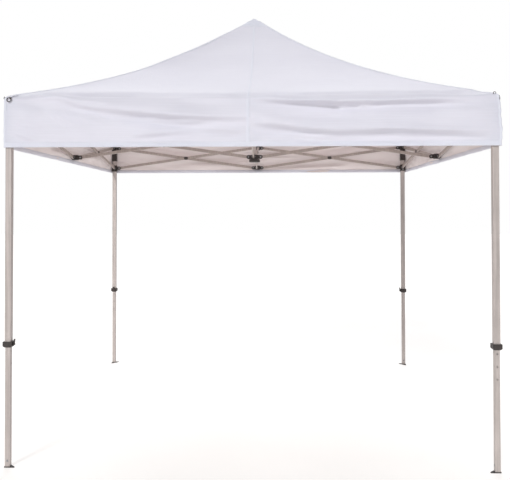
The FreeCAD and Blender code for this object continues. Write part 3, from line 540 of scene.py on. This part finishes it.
def surface_height(side, share, run):
    """How far the cloth stands out from its plain shape, along the plain shape's normal."""
    along = share * profile_at(run)[0]
    depth = run - EAVE_RUN
    on_valance = smooth(-0.05, 0.05, depth)
    total = sum(fold_height(fold, along, depth) for fold in SIDE_FOLDS[side])
    # Ripples on the valance, near the eave, on the roof and along the hem, then the valance's bulge
    total = total + on_valance * 0.0045 * ripple(100 + side, along, depth, 0.55, 0.16)
    total = total + 0.0025 * ripple(200 + side, along, depth, 0.22, 0.09) * smooth(-0.35, 0.0, depth)
    total = total + 0.0030 * ripple(300 + side, along, depth, 0.9, 0.5) * (1 - on_valance)
    hem_wave = 0.5 + 0.5 * ripple(400 + side, along, depth, 0.30, 3.0)
    total = total + 0.006 * smooth(0.18, 0.32, depth) * hem_wave
    total = total + 0.010 * np.sin(math.pi * np.clip(depth / (HEM_RUN - EAVE_RUN), 0, 1))
    total = total * smooth(0, 0.10, 1 - np.abs(share))
    # Inwards the cloth goes 1 mm at most by a bracket, and 8.5 mm elsewhere
    inward = 0.0010 + 0.0075 * (1 - near_brackets(along))
    total = np.where(total < 0, -inward * np.tanh(-total / inward), total)
    sag = 0.020 * (1 - share ** 2) * np.sin(math.pi * np.clip(run / EAVE_RUN, 0, 1))
    soften = 0.030 * bell(depth + 0.030, 0.055) * smooth(0, 0.16, 1 - np.abs(share))
    return total - sag - soften


def corner_shift(corner, run):
    """How far the cloth is moved outwards along the diagonal, and up, at a corner."""
    depth = run - EAVE_RUN
    near_eave = 0.86 * (1 - smooth(-0.040, 0.022, depth)) + 0.14 * (1 - np.clip(depth / 0.19, 0, 1))
    over_leg = near_eave * smooth(-0.14, -0.03, depth)
    lift = (1 - smooth(-0.010, 0.030, depth)) * smooth(-0.10, -0.02, depth)
    bulge = CORNER_BULGE[corner] * smooth(0.05, 0.20, depth) * (1 - 0.35 * smooth(0.24, 0.32, depth))
    puckers = CORNER_PUCKER[corner] * (1 + ripple(500 + corner, depth, 0 * depth, 0.050, 1.0))
    hip = HIP_RISE[corner] * smooth(0.05, 0.35, run) * (1 - smooth(0.7, 1.0, run))
    outwards = bulge - CORNER_PULL[corner] * over_leg + puckers * smooth(0, 0.05, depth)
    return outwards, hip + CORNER_LIFT[corner] * lift


def sheet_points(side, share, run):
    """Points of the cloth's outer face. share and run are numbers or arrays of one shape."""
    share, run = np.broadcast_arrays(np.asarray(share, float), np.asarray(run, float))
    out, up = profile_at(run)
    (next_out, next_up), (last_out, last_up) = profile_at(run + STEP), profile_at(run - STEP)
    normal = unit(np.stack([-(next_up - last_up), next_out - last_out], axis=-1))
    # Each ring is a square with rounded corners, and a circle round the peak
    around_peak = 1 - smooth(0.015, 0.06, out)
    hip_radius = 0.004 + 0.005 * smooth(-0.1, 0, run - EAVE_RUN)
    radius = np.maximum(out * around_peak, np.minimum(out, hip_radius))
    edge = np.abs(share) * out
    straight = out - radius
    angle = np.clip((edge - straight) / np.maximum(radius, 1e-9), 0, 1) * math.pi / 4
    bent = edge > straight
    across = np.where(bent, straight + radius * np.sin(angle), edge) * np.sign(share)
    away = np.where(bent, straight + radius * np.cos(angle), out)
    rise = surface_height(side, share, run)
    points = np.stack([across, -away - rise * normal[..., 0], up + rise * normal[..., 1]], axis=-1)
    for sign, corner in ((-1, side), (1, (side + 1) % 4)):
        near = bell(out * (1 - sign * share), 0.09)
        outwards, upwards = corner_shift(corner, run)
        shift = np.stack([sign * math.sqrt(0.5) * outwards, -math.sqrt(0.5) * outwards, upwards], axis=-1)
        points = points + near[..., None] * shift
    return turned(points, side)


def sheet_normals(side, share, run):
    """Outward normals; on a corner or hip, halfway between its two sides."""
    share, run = np.broadcast_arrays(np.asarray(share, float), np.asarray(run, float))

    def one_side(side, share):
        small = STEP / np.maximum(profile_at(run)[0], LEAST_OUT)
        right, left = np.minimum(share + small, 1), np.maximum(share - small, -1)
        lower, upper = np.minimum(run + STEP, HEM_RUN), np.maximum(run - STEP, 0)
        across = sheet_points(side, right, run) - sheet_points(side, left, run)
        down = sheet_points(side, share, lower) - sheet_points(side, share, upper)
        return unit(np.cross(down, across))

    normals = one_side(side, share)
    for sign, other in ((1, (side + 1) % 4), (-1, (side - 1) % 4)):
        on_edge = (sign * share > 0.9999)[..., None]
        if on_edge.any():
            normals = np.where(on_edge, unit(normals + one_side(other, -share)), normals)
    return normals


def lifted(side, share, run, lift):
    """Points above the cloth's outer face, or inside it for a negative lift."""
    lift = np.broadcast_to(lift, np.broadcast_shapes(np.shape(share), np.shape(run)))
    return sheet_points(side, share, run) + lift[..., None] * sheet_normals(side, share, run)


# ------------------------------------------------------------------ cloth that follows the folding frame

# Cloth this close to a leg moves with it as one, so that the rings sewn on there stay in place
STIFF_CORNER = 0.08
# The roof up to this far above the eave stays over the brackets; the rest comes down with the pole
STILL_ROOF = 0.18
# Pleats on each half of a side when the frame is folded, and how far they go in
PLEATS = 3
GATHER = 0.28
# Shares of a body's motion below this are left out
LEAST_SHARE = 0.0005
CAGE_POINTS = (49, 49, 9)
CAGE_MARGIN = 0.12


def frame_shares(points):
    """How much each point of the cage moves with each body that the cloth hangs on."""
    reach_of_leg = LEG - STIFF_CORNER
    u = np.clip(points[:, 0] / reach_of_leg, -1, 1)
    v = np.clip(points[:, 1] / reach_of_leg, -1, 1)
    wide, deep = np.abs(u), np.abs(v)
    ring = np.maximum(wide, deep)
    pleats = 0.5 - 0.5 * np.cos(2 * math.pi * PLEATS * np.minimum(wide, deep))
    gather = 1 - GATHER * pleats * smooth(0.55, 0.97, ring)
    still = EAVE + STILL_ROOF
    shares = {"peak_pole": np.clip((points[:, 2] - still) / (PEAK - still), 0, 1)}
    for corner, (sx, sy) in zip(CORNERS, ((-1, -1), (1, -1), (1, 1), (-1, 1))):
        shares["upper_leg_" + corner] = wide * deep * (sx * u > 0) * (sy * v > 0)
    for side, (sx, sy) in zip(SIDES, ((0, -1), (1, 0), (0, 1), (-1, 0))):
        here = (sx * u > 0) if sx else (sy * v > 0)
        reach, width = (wide, deep) if sx else (deep, wide)
        shares["mid_top_bracket_" + side] = reach * (1 - width) * gather * here
    return shares


def make_cage():
    """A lattice round the fabric, hooked to the legs, brackets and pole that the fabric hangs on."""
    cage = bpy.data.lattices.new("folding_cage")
    cage.points_u, cage.points_v, cage.points_w = CAGE_POINTS
    for axis in "uvw":
        setattr(cage, f"interpolation_type_{axis}", "KEY_LINEAR")
    holder = bpy.data.objects.new("folding_cage", cage)
    bpy.context.scene.collection.objects.link(holder)
    width = 2 * (HALF + CAGE_MARGIN)
    bottom, top = HEM - CAGE_MARGIN, PEAK + 0.005
    holder.location = (0, 0, (bottom + top) / 2)
    span = np.ptp([point.co for point in cage.points], axis=0)
    holder.scale = np.array([width, width, top - bottom]) / span
    bpy.context.view_layer.update()
    points = np.array([holder.matrix_world @ point.co for point in cage.points])
    for body, share in frame_shares(points).items():
        group = holder.vertex_groups.new(name=body)
        for index in np.nonzero(share > LEAST_SHARE)[0]:
            group.add([int(index)], float(share[index]), "REPLACE")
        hook = holder.modifiers.new(body, "HOOK")
        hook.object = frame["bodies"][body]
        hook.vertex_group = body
        hook.matrix_inverse = holder.matrix_world
    return holder


def follow_frame(piece):
    """Makes a piece of cloth fold with the frame."""
    piece.modifiers.new("folding", "LATTICE").object = CAGE
    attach(piece, ROOT)
    return piece


CAGE = make_cage()


def solidified(piece, thickness, offset=-1.0):
    """Gives cloth its thickness: inwards, or to both sides for offset 0."""
    shell = piece.modifiers.new("cloth_thickness", "SOLIDIFY")
    shell.thickness = thickness
    shell.offset = offset
    return piece


# ------------------------------------------------------------------ the sheet

def along_side(count):
    """Shares along one side, closer together towards the corners, without the last one."""
    t = np.linspace(-1, 1, count + 1)[:-1]
    return 0.45 * t + 0.55 * np.sin(math.pi / 2 * t)


def down_runs():
    """Runs from near the peak to the hem, closer together over the eave and the valance."""
    first, close = 0.008, EAVE_RUN - 0.12
    roof = first + (close - first) * np.linspace(0, 1, 56) ** 1.15
    lower = np.linspace(close, HEM_RUN, 78)[1:]
    return np.concatenate([roof, lower])


def make_sheet():
    """The whole top as one sheet, rings round the peak from the apex down to the hem; and its area."""
    shares, runs = along_side(112), down_runs()
    rings = [sheet_points(side, shares[None, :], runs[:, None]) for side in range(4)]
    points = np.concatenate(rings, axis=1)
    rows, columns = points.shape[:2]
    out = profile_at(runs)[0]
    apex = np.array([[0, 0, float(roof_height(0.0))]])
    centre = rows * columns
    faces = [tuple(reversed(face)) for face in grid_faces(rows, columns, closed=True)]
    faces += [(centre, (j + 1) % columns, j) for j in range(columns)]
    next_share = np.append(shares[1:], 1.0)
    # Each side's cloth has its own place in the uv, 4 m from the last side's
    uv = []
    for i in range(rows - 1):
        for j in range(columns):
            low, high = shares[j % len(shares)], next_share[j % len(shares)]
            offset = 4 * (j // len(shares))
            corners = ((low, i), (high, i), (high, i + 1), (low, i + 1))
            uv += [(offset + share * out[row], runs[row]) for share, row in reversed(corners)]
    for j in range(columns):
        offset = 4 * (j // len(shares))
        uv += [(offset, 0), (offset + next_share[j % len(shares)] * out[0], runs[0]),
               (offset + shares[j % len(shares)] * out[0], runs[0])]
    points = np.concatenate([points.reshape(-1, 3), apex])
    cloth = new_piece("canopy_fabric", points, faces, CLOTH_WHITE, uv)
    return cloth, sum(face.area for face in cloth.data.polygons)


# ------------------------------------------------------------------ seams, hems and stitches

STITCH_PITCH = 0.0062
STITCH_LENGTH = 0.0046
STITCH_WIDTH = 0.0011
STITCH_HEIGHT = 0.0007
SEAM_START = 0.05
SEAM_END = HEM_RUN - 0.001


def sampled(vectors, distance, places):
    """Vectors between those given at each distance along a line."""
    return np.stack([np.interp(places, distance, vectors[:, i]) for i in range(3)], axis=1)


def stitch_rows(name, tracks):
    """Rows of sewing thread. Each track is (points, normals) sampled closely along a seam."""
    points, faces = [], []
    shape = np.array([(-1, 0, -0.4), (1, 0, -0.4), (-0.55, 1, 0), (0.55, 1, 0), (-0.55, -1, 0), (0.55, -1, 0),
                      (-0.5, 0, 1), (0.5, 0, 1)]) * (STITCH_LENGTH / 2, STITCH_WIDTH / 2, STITCH_HEIGHT)
    pattern = [(0, 6, 2), (0, 4, 6), (2, 6, 7, 3), (4, 5, 7, 6), (1, 3, 7), (1, 7, 5)]
    for line, normals in tracks:
        distance = lengths(line)
        places = np.arange(STITCH_PITCH / 2, distance[-1] - STITCH_LENGTH, STITCH_PITCH)
        at = sampled(line, distance, places)
        up = unit(sampled(normals, distance, places))
        ahead = unit(sampled(line, distance, places + STITCH_LENGTH / 2) - at)
        beside = np.cross(up, ahead)
        here = (at[:, None] + shape[None, :, :1] * ahead[:, None] + shape[None, :, 1:2] * beside[:, None]
                + shape[None, :, 2:] * up[:, None])
        start = sum(len(made) for made in points)
        points.append(here.reshape(-1, 3))
        for first in range(start, start + len(shape) * len(places), len(shape)):
            faces += [tuple(first + corner for corner in face) for face in pattern]
    return new_piece(name, np.concatenate(points), faces, THREAD)


def track(side, share, run, lift):
    """A line on the cloth with its normals, for stitches."""
    share, run = np.broadcast_arrays(share, run)
    return lifted(side, share, run, lift), sheet_normals(side, share, run)


def seam_share(side, run):
    """The middle seam of a panel, which isn't quite straight."""
    drift = (-0.008, 0.012, 0.018, -0.015)[side]
    return drift * np.clip(run / EAVE_RUN, 0, 1) / np.maximum(profile_at(run)[0], LEAST_OUT)


def middle_seam(side):
    """Flat felled seam down the middle of a panel: a raised band with two rows of stitches."""
    run = np.linspace(SEAM_START, SEAM_END, 420)
    out = np.maximum(profile_at(run)[0], LEAST_OUT)
    middle = seam_share(side, run)
    section = ((-0.0100, 0.0001), (-0.0085, 0.0010), (0.0, 0.0022), (0.0085, 0.0010), (0.0100, 0.0001))
    band = np.stack([lifted(side, middle + x / out, run, z) for x, z in section], axis=1)
    return [band], [track(side, middle + x / out, run, 0.0014) for x in (-0.0060, 0.0060)]


def hip_seam(side):
    """Welted seam along the hip and corner between this side and the next, with stitches beside it."""
    run = np.linspace(SEAM_START, SEAM_END, 460)
    out = np.maximum(profile_at(run)[0], LEAST_OUT)
    other = (side + 1) % 4
    flank = ((0.016, 0.0001), (0.0152, 0.0013), (0.005, 0.0016))
    section = [lifted(side, 1 - x / out, run, z) for x, z in flank]
    section.append(lifted(side, np.ones_like(run), run, 0.0034))
    section += [lifted(other, -1 + x / out, run, z) for x, z in reversed(flank)]
    tracks = []
    for which, sign in ((side, 1), (other, -1)):
        for x in (0.0070, 0.0125):
            tracks.append(track(which, sign * (1 - x / out), run, 0.0016))
    return [np.stack(section, axis=1)], tracks


def hem_band(side):
    """Turned hem: the cloth's edge folded to the inside, with two rows of stitches."""
    share = np.linspace(-1, 1, 480)
    section = ((0.030, 0.0002), (0.0292, 0.0012), (0.0015, 0.0013), (0.0, 0.0004), (0.0, -0.0014),
               (0.0015, -0.0024), (0.0292, -0.0023), (0.030, -0.0010))
    band = np.stack([lifted(side, share, HEM_RUN - up, z) for up, z in section], axis=1)
    return [band], [track(side, share, HEM_RUN - up, 0.0013) for up in (0.004, 0.026)]


def peak_patch(side):
    """Doubled cloth round the peak with a stitched edge."""
    share = np.linspace(-1, 1, 90)
    runs = (0.012, 0.03, 0.06, 0.10, 0.140, 0.1415)
    lifts = (0.0016, 0.0016, 0.0016, 0.0016, 0.0014, 0.0001)
    band = np.stack([lifted(side, share, run, z) for run, z in zip(runs, lifts)], axis=0)
    return [band], [track(side, share, run, 0.0016) for run in (0.030, 0.130, 0.136)]


def make_trim():
    """All bands and stitches that are sewn to the sheet."""
    makers = {"middle_seams": middle_seam, "hip_seams": hip_seam, "hem": hem_band, "peak_patch": peak_patch}
    pieces = []
    for name, maker in makers.items():
        bands, tracks = [], []
        for side in range(4):
            side_bands, side_tracks = maker(side)
            bands += side_bands
            tracks += side_tracks
        pieces.append(ribbon("canopy_" + name, bands, TRIM_WHITE))
        pieces.append(stitch_rows(f"canopy_{name}_stitches", tracks))
    for piece in pieces:
        follow_frame(piece)
    return pieces


cloth, cloth_area = make_sheet()
# The inner face takes the inside colour, with its painted warm light
cloth.data.materials.append(CLOTH_INSIDE_PAINTED_WARM_LIGHT)
follow_frame(cloth)
solidified(cloth, CLOTH_THICKNESS).modifiers["cloth_thickness"].material_offset = 1
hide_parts("canopy_roof", "canopy_valance")
trim = make_trim()


# ------------------------------------------------------------------ hardware from the CAD nodes

def islands(mesh):
    """Faces of a mesh grouped by the vertices that they share: one group for each face of the CAD solid."""
    parent = list(range(len(mesh.vertices)))

    def root(i):
        while parent[i] != i:
            parent[i] = parent[parent[i]]
            i = parent[i]
        return i

    for face in mesh.polygons:
        first = root(face.vertices[0])
        for other in face.vertices[1:]:
            parent[root(other)] = first
    groups = {}
    for face in mesh.polygons:
        groups.setdefault(root(face.vertices[0]), []).append(face)
    return list(groups.values())


def extent(mesh, faces):
    """Lowest and highest corner of some faces."""
    co = np.array([mesh.vertices[i].co for face in faces for i in face.vertices])
    return co.min(0), co.max(0)


# Sizes and places that tell the faces of one material from those of another
BOLT_SIZE = 0.0146
BOLT_HEIGHTS = (UPPER_PIVOT, LOWER_PIVOT, 0.040)
BOLT_REACH = 0.0075
CAP_SIZE = (0.026, 0.030)
TUBE_LENGTH = 0.5
RIM_HEIGHT = 0.008
RIM_FLATNESS = 0.0005
SNAP_HOLES = (0.5, 0.9005)


def is_bolt(low, high):
    """Small faces at a pivot's height, or a rivet's, belong to bolts."""
    middle = (low[2] + high[2]) / 2
    small = (high - low).max() < BOLT_SIZE
    return small and min(abs(middle - height) for height in BOLT_HEIGHTS) < BOLT_REACH


def is_tube(low, high):
    """Long faces belong to a leg's tube."""
    return high[2] - low[2] > TUBE_LENGTH


def is_rim(node, low, high):
    """The flat end of an upper leg's tube, a little above the node's lowest point."""
    above = high[2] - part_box(node)[0].z
    return abs(above - RIM_HEIGHT) < RIM_FLATNESS and high[2] - low[2] < RIM_FLATNESS


# Each kind's material, how wide its edges are rounded (0 leaves them sharp) and its slot
KINDS = {
    "metal": (PAINT, 0.0, "frame_paint"),
    # The bars' kind is the darker powder coat with its painted shade
    "bar": (SHADED_BAR_PAINT, 0.0, "frame_paint"),
    "plastic": (PLASTIC, 0.0011, "black_plastic"),
    "bolts": (STEEL, 0.0005, "bolt_steel"),
}


def kind_of(node, low, high):
    """The material kind of one face group of a node."""
    if "bar_" in node:
        return "plastic" if CAP_SIZE[0] < (high - low).max() < CAP_SIZE[1] else "bar"
    if node.startswith("upper_leg") and (is_tube(low, high) or is_rim(node, low, high)):
        return "metal"
    if node.startswith("lower_leg") and (is_tube(low, high) or SNAP_HOLES[0] < low[2] < SNAP_HOLES[1]):
        return "metal"
    return "bolts" if is_bolt(low, high) else "plastic"


def rebuilt(node, body):
    """Pieces in place of a CAD node: its faces split by material, joined at their edges and rounded."""
    source = frame["nodes"][node].data
    sorted_faces = {}
    for faces in islands(source):
        low, high = extent(source, faces)
        sorted_faces.setdefault(kind_of(node, low, high), []).extend(faces)
    for kind, faces in sorted_faces.items():
        material, width, slot = KINDS[kind]
        work = bmesh.new()
        made = {}
        for face in faces:
            corners = []
            for i in face.vertices:
                if i not in made:
                    made[i] = work.verts.new(source.vertices[i].co)
                corners.append(made[i])
            work.faces.new(corners)
        bmesh.ops.remove_doubles(work, verts=work.verts, dist=0.00001)
        mesh = bpy.data.meshes.new(f"{node}_{kind}")
        work.to_mesh(mesh)
        work.free()
        mesh.polygons.foreach_set("use_smooth", [True] * len(mesh.polygons))
        mesh.set_sharp_from_angle(angle=SHARP_ANGLE)
        mesh.materials.append(material)
        piece = bpy.data.objects.new(f"{node}_{kind}", mesh)
        bpy.context.scene.collection.objects.link(piece)
        if width:
            round_edges(piece, width)
        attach(piece, body)
        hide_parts(node)


BODIES = frame["record"]["behaviour"]["bodies"]
BODY_OF = {node: body for body, nodes in BODIES.items() for node in nodes}
for node_name, node in frame["nodes"].items():
    if node_name.startswith("canopy_"):
        continue
    if node_name == "peak_pole":
        node.data.materials[0] = PAINT
    # These bars take the darker powder coat, with its painted shade
    elif node_name.startswith(("inner_bar_low", "edge_bar_high")):
        node.data.materials[0] = SHADED_BAR_PAINT
    elif node_name.startswith("slider_pin"):
        node.data.materials[0] = STEEL
    else:
        rebuilt(node_name, BODY_OF[node_name])


PLATE_HALF_WIDTH = 0.019
PLATE_HALF_HEIGHT = 0.0145
# How round a plate's corners are: 1 is an ellipse, 0 a rectangle
PLATE_ROUNDNESS = 0.35
# Distance from the joint and relative size of a plate's back, of its front edge and of its face
PLATE_LAYERS = ((0.0144, 1.0), (0.0170, 1.0), (0.0180, 0.93))


def crossing_plates(joint):
    """Moulded plates on both outer faces of two bars where they cross, on the bar that carries the bolt."""
    axis = np.abs(np.array(joint["axis"], float))
    beside = np.array([axis[1], axis[0], 0])
    turn = np.linspace(0, 2 * math.pi, 36, endpoint=False)
    wide = PLATE_HALF_WIDTH * np.sign(np.cos(turn)) * np.abs(np.cos(turn)) ** PLATE_ROUNDNESS
    tall = PLATE_HALF_HEIGHT * np.sign(np.sin(turn)) * np.abs(np.sin(turn)) ** PLATE_ROUNDNESS
    outline = wide[:, None] * beside + tall[:, None] * np.array([0, 0, 1])
    points, faces = [], []
    for sign in (-1, 1):
        start = len(points) * len(turn)
        for away, size in PLATE_LAYERS:
            points.append(np.array(joint["pos_m"]) + size * outline + sign * away * axis)
        faces += grid_faces(len(PLATE_LAYERS), len(turn), closed=True, start=start)
        end = len(points) * len(turn)
        faces += [tuple(range(start + len(turn) - 1, start - 1, -1)), tuple(range(end - len(turn), end))]
    name = joint["name"].replace("crossing", "crossing_plates")
    plates = new_piece(name, np.concatenate(points), faces, PLASTIC)
    work = bmesh.new()
    work.from_mesh(plates.data)
    bmesh.ops.recalc_face_normals(work, faces=work.faces)
    work.to_mesh(plates.data)
    work.free()
    plates.data.set_sharp_from_angle(angle=SHARP_ANGLE)
    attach(plates, joint["parent"])


for crossing in frame["joints"]:
    if "crossing" in crossing["name"]:
        crossing_plates(crossing)


# ------------------------------------------------------------------ rings and tabs at the corners

# How far below the eave, in from the corner and out from the cloth a ring's middle is
RING_BELOW = 0.030
RING_IN = 0.032
RING_OUT = 0.0065
RING_RADIUS = 0.0130
RING_WIRE = 0.0025
KNOT_WIRE = 0.0022
TAB_HALF_WIDTH = 0.009
TAB_THICKNESS = 0.0012
# How far below the eave each corner's hook hangs, and how it stands off the corner seam
HOOK_BELOW = (0.022, 0.006, 0.006, 0.010)
HOOK_OFFSET = np.array([-0.006, -0.0055, 0.004])
HOOK_RADIUS = 0.0075
HOOK_WIRE = 0.0018


def corner_ring(side):
    """Black ring on a webbing tab near the left end of a side's eave, and a hook at its right end.

    The shapes are made as on the front, and turned to their side at the end.
    """
    at = EAVE_RUN + RING_BELOW
    share = -1 + RING_IN / HALF
    centre = turned(lifted(side, share, at, RING_OUT), -side)
    turn = np.linspace(0, 2 * math.pi, 40, endpoint=False)
    ring = centre + RING_RADIUS * np.stack([np.cos(turn), 0.18 * np.sin(turn), np.sin(turn)], axis=1)
    t = np.linspace(0, 1, 30)[:, None]
    knot = centre + np.concatenate([0.0115 + 0.0036 * np.cos(7 * math.pi * t) - 0.004 * t,
                                    -0.0030 - 0.0015 * np.sin(5 * math.pi * t),
                                    0.0036 * np.sin(7 * math.pi * t) + 0.004 + 0.008 * t], axis=1)
    up = np.linspace(-0.008, -0.052, 12)
    rise = 0.0015 + 0.0055 * np.sin(math.pi * np.linspace(0.5, 1, 12))
    across = np.linspace(-TAB_HALF_WIDTH, TAB_HALF_WIDTH, 5)
    tab = np.stack([lifted(side, share + x / HALF, at + up, rise) for x in across], axis=1)
    right_corner = (side + 1) % 4
    sweep = np.linspace(-0.3 * math.pi, 1.35 * math.pi, 26)
    hook_at = turned(sheet_points(side, 1.0, EAVE_RUN + HOOK_BELOW[right_corner]), -side) + HOOK_OFFSET
    hook = hook_at + HOOK_RADIUS * np.stack([np.cos(sweep), 0.1 * np.sin(sweep), np.sin(sweep)], axis=1)
    pieces = [
        tube(f"corner_ring_{SIDES[side]}", turned(ring, side), RING_WIRE, PLASTIC, closed=True),
        tube(f"ring_knot_{SIDES[side]}", turned(knot, side), KNOT_WIRE, PLASTIC),
        solidified(ribbon(f"ring_tab_{SIDES[side]}", [tab], WEBBING), TAB_THICKNESS, 0.0),
        tube(f"corner_hook_{SIDES[side]}", turned(hook, side), HOOK_WIRE, PLASTIC),
    ]
    for piece, corner in zip(pieces, (side, side, side, right_corner)):
        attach(piece, "upper_leg_" + CORNERS[corner])


for side in range(4):
    corner_ring(side)


# ------------------------------------------------------------------ floor, light and camera

FLOOR_HALF = 40.0


def make_floor():
    """A wide floor, a little below the feet so that the two don't coincide."""
    corners = [(x * FLOOR_HALF, y * FLOOR_HALF, 0) for x, y in ((-1, -1), (1, -1), (1, 1), (-1, 1))]
    floor = new_piece("floor", corners, [(0, 1, 2, 3)], floor_material("pale_floor"), smooth_faces=False)
    floor.location.z = -0.001


def sun(name, towards, strength, spread, colour):
    """Soft light from a direction, the same everywhere."""
    light = bpy.data.lights.new(name, "SUN")
    light.energy = strength
    light.angle = math.radians(spread)
    light.color = colour
    lamp = bpy.data.objects.new(name, light)
    lamp.rotation_euler = Vector(towards).to_track_quat("-Z", "Y").to_euler()
    bpy.context.scene.collection.objects.link(lamp)


def make_world():
    """Surroundings: white behind the object, dimmer and a little blue as a light on it."""
    world = bpy.data.worlds.new("studio")
    world.use_nodes = True
    tree = world.node_tree
    seen = tree.nodes["Background"]
    seen.inputs["Color"].default_value = (1.0, 1.0, 1.0, 1)
    light = tree.nodes.new("ShaderNodeBackground")
    light.inputs["Color"].default_value = (0.88, 0.93, 1.0, 1)
    light.inputs["Strength"].default_value = 0.24
    mix = tree.nodes.new("ShaderNodeMixShader")
    tree.links.new(tree.nodes.new("ShaderNodeLightPath").outputs["Is Camera Ray"], mix.inputs["Fac"])
    tree.links.new(light.outputs["Background"], mix.inputs[1])
    tree.links.new(seen.outputs["Background"], mix.inputs[2])
    tree.links.new(mix.outputs["Shader"], tree.nodes["World Output"].inputs["Surface"])
    bpy.context.scene.world = world


def make_camera():
    """The photo's view: from eye height in front of the middle, and almost level."""
    camera = bpy.data.cameras.new("camera")
    camera.lens = 49.868
    camera.sensor_width = 36.0
    camera.shift_x = 0.01888
    camera.shift_y = -0.0835
    camera.clip_end = 200
    eye = bpy.data.objects.new("camera", camera)
    eye.location = (0.12066, -5.7611, 1.5620)
    eye.rotation_euler = (math.radians(91.03), math.radians(0.06), math.radians(1.95))
    bpy.context.scene.collection.objects.link(eye)
    bpy.context.scene.camera = eye


make_floor()
make_world()
sun("key", (0.26, 0.80, -0.53), 2.15, 12, (1.0, 0.99, 0.97))
sun("top", (0.05, -0.68, -0.73), 2.0, 45, (0.97, 0.98, 1.0))
make_camera()
bpy.context.scene.view_settings.view_transform = "Standard"
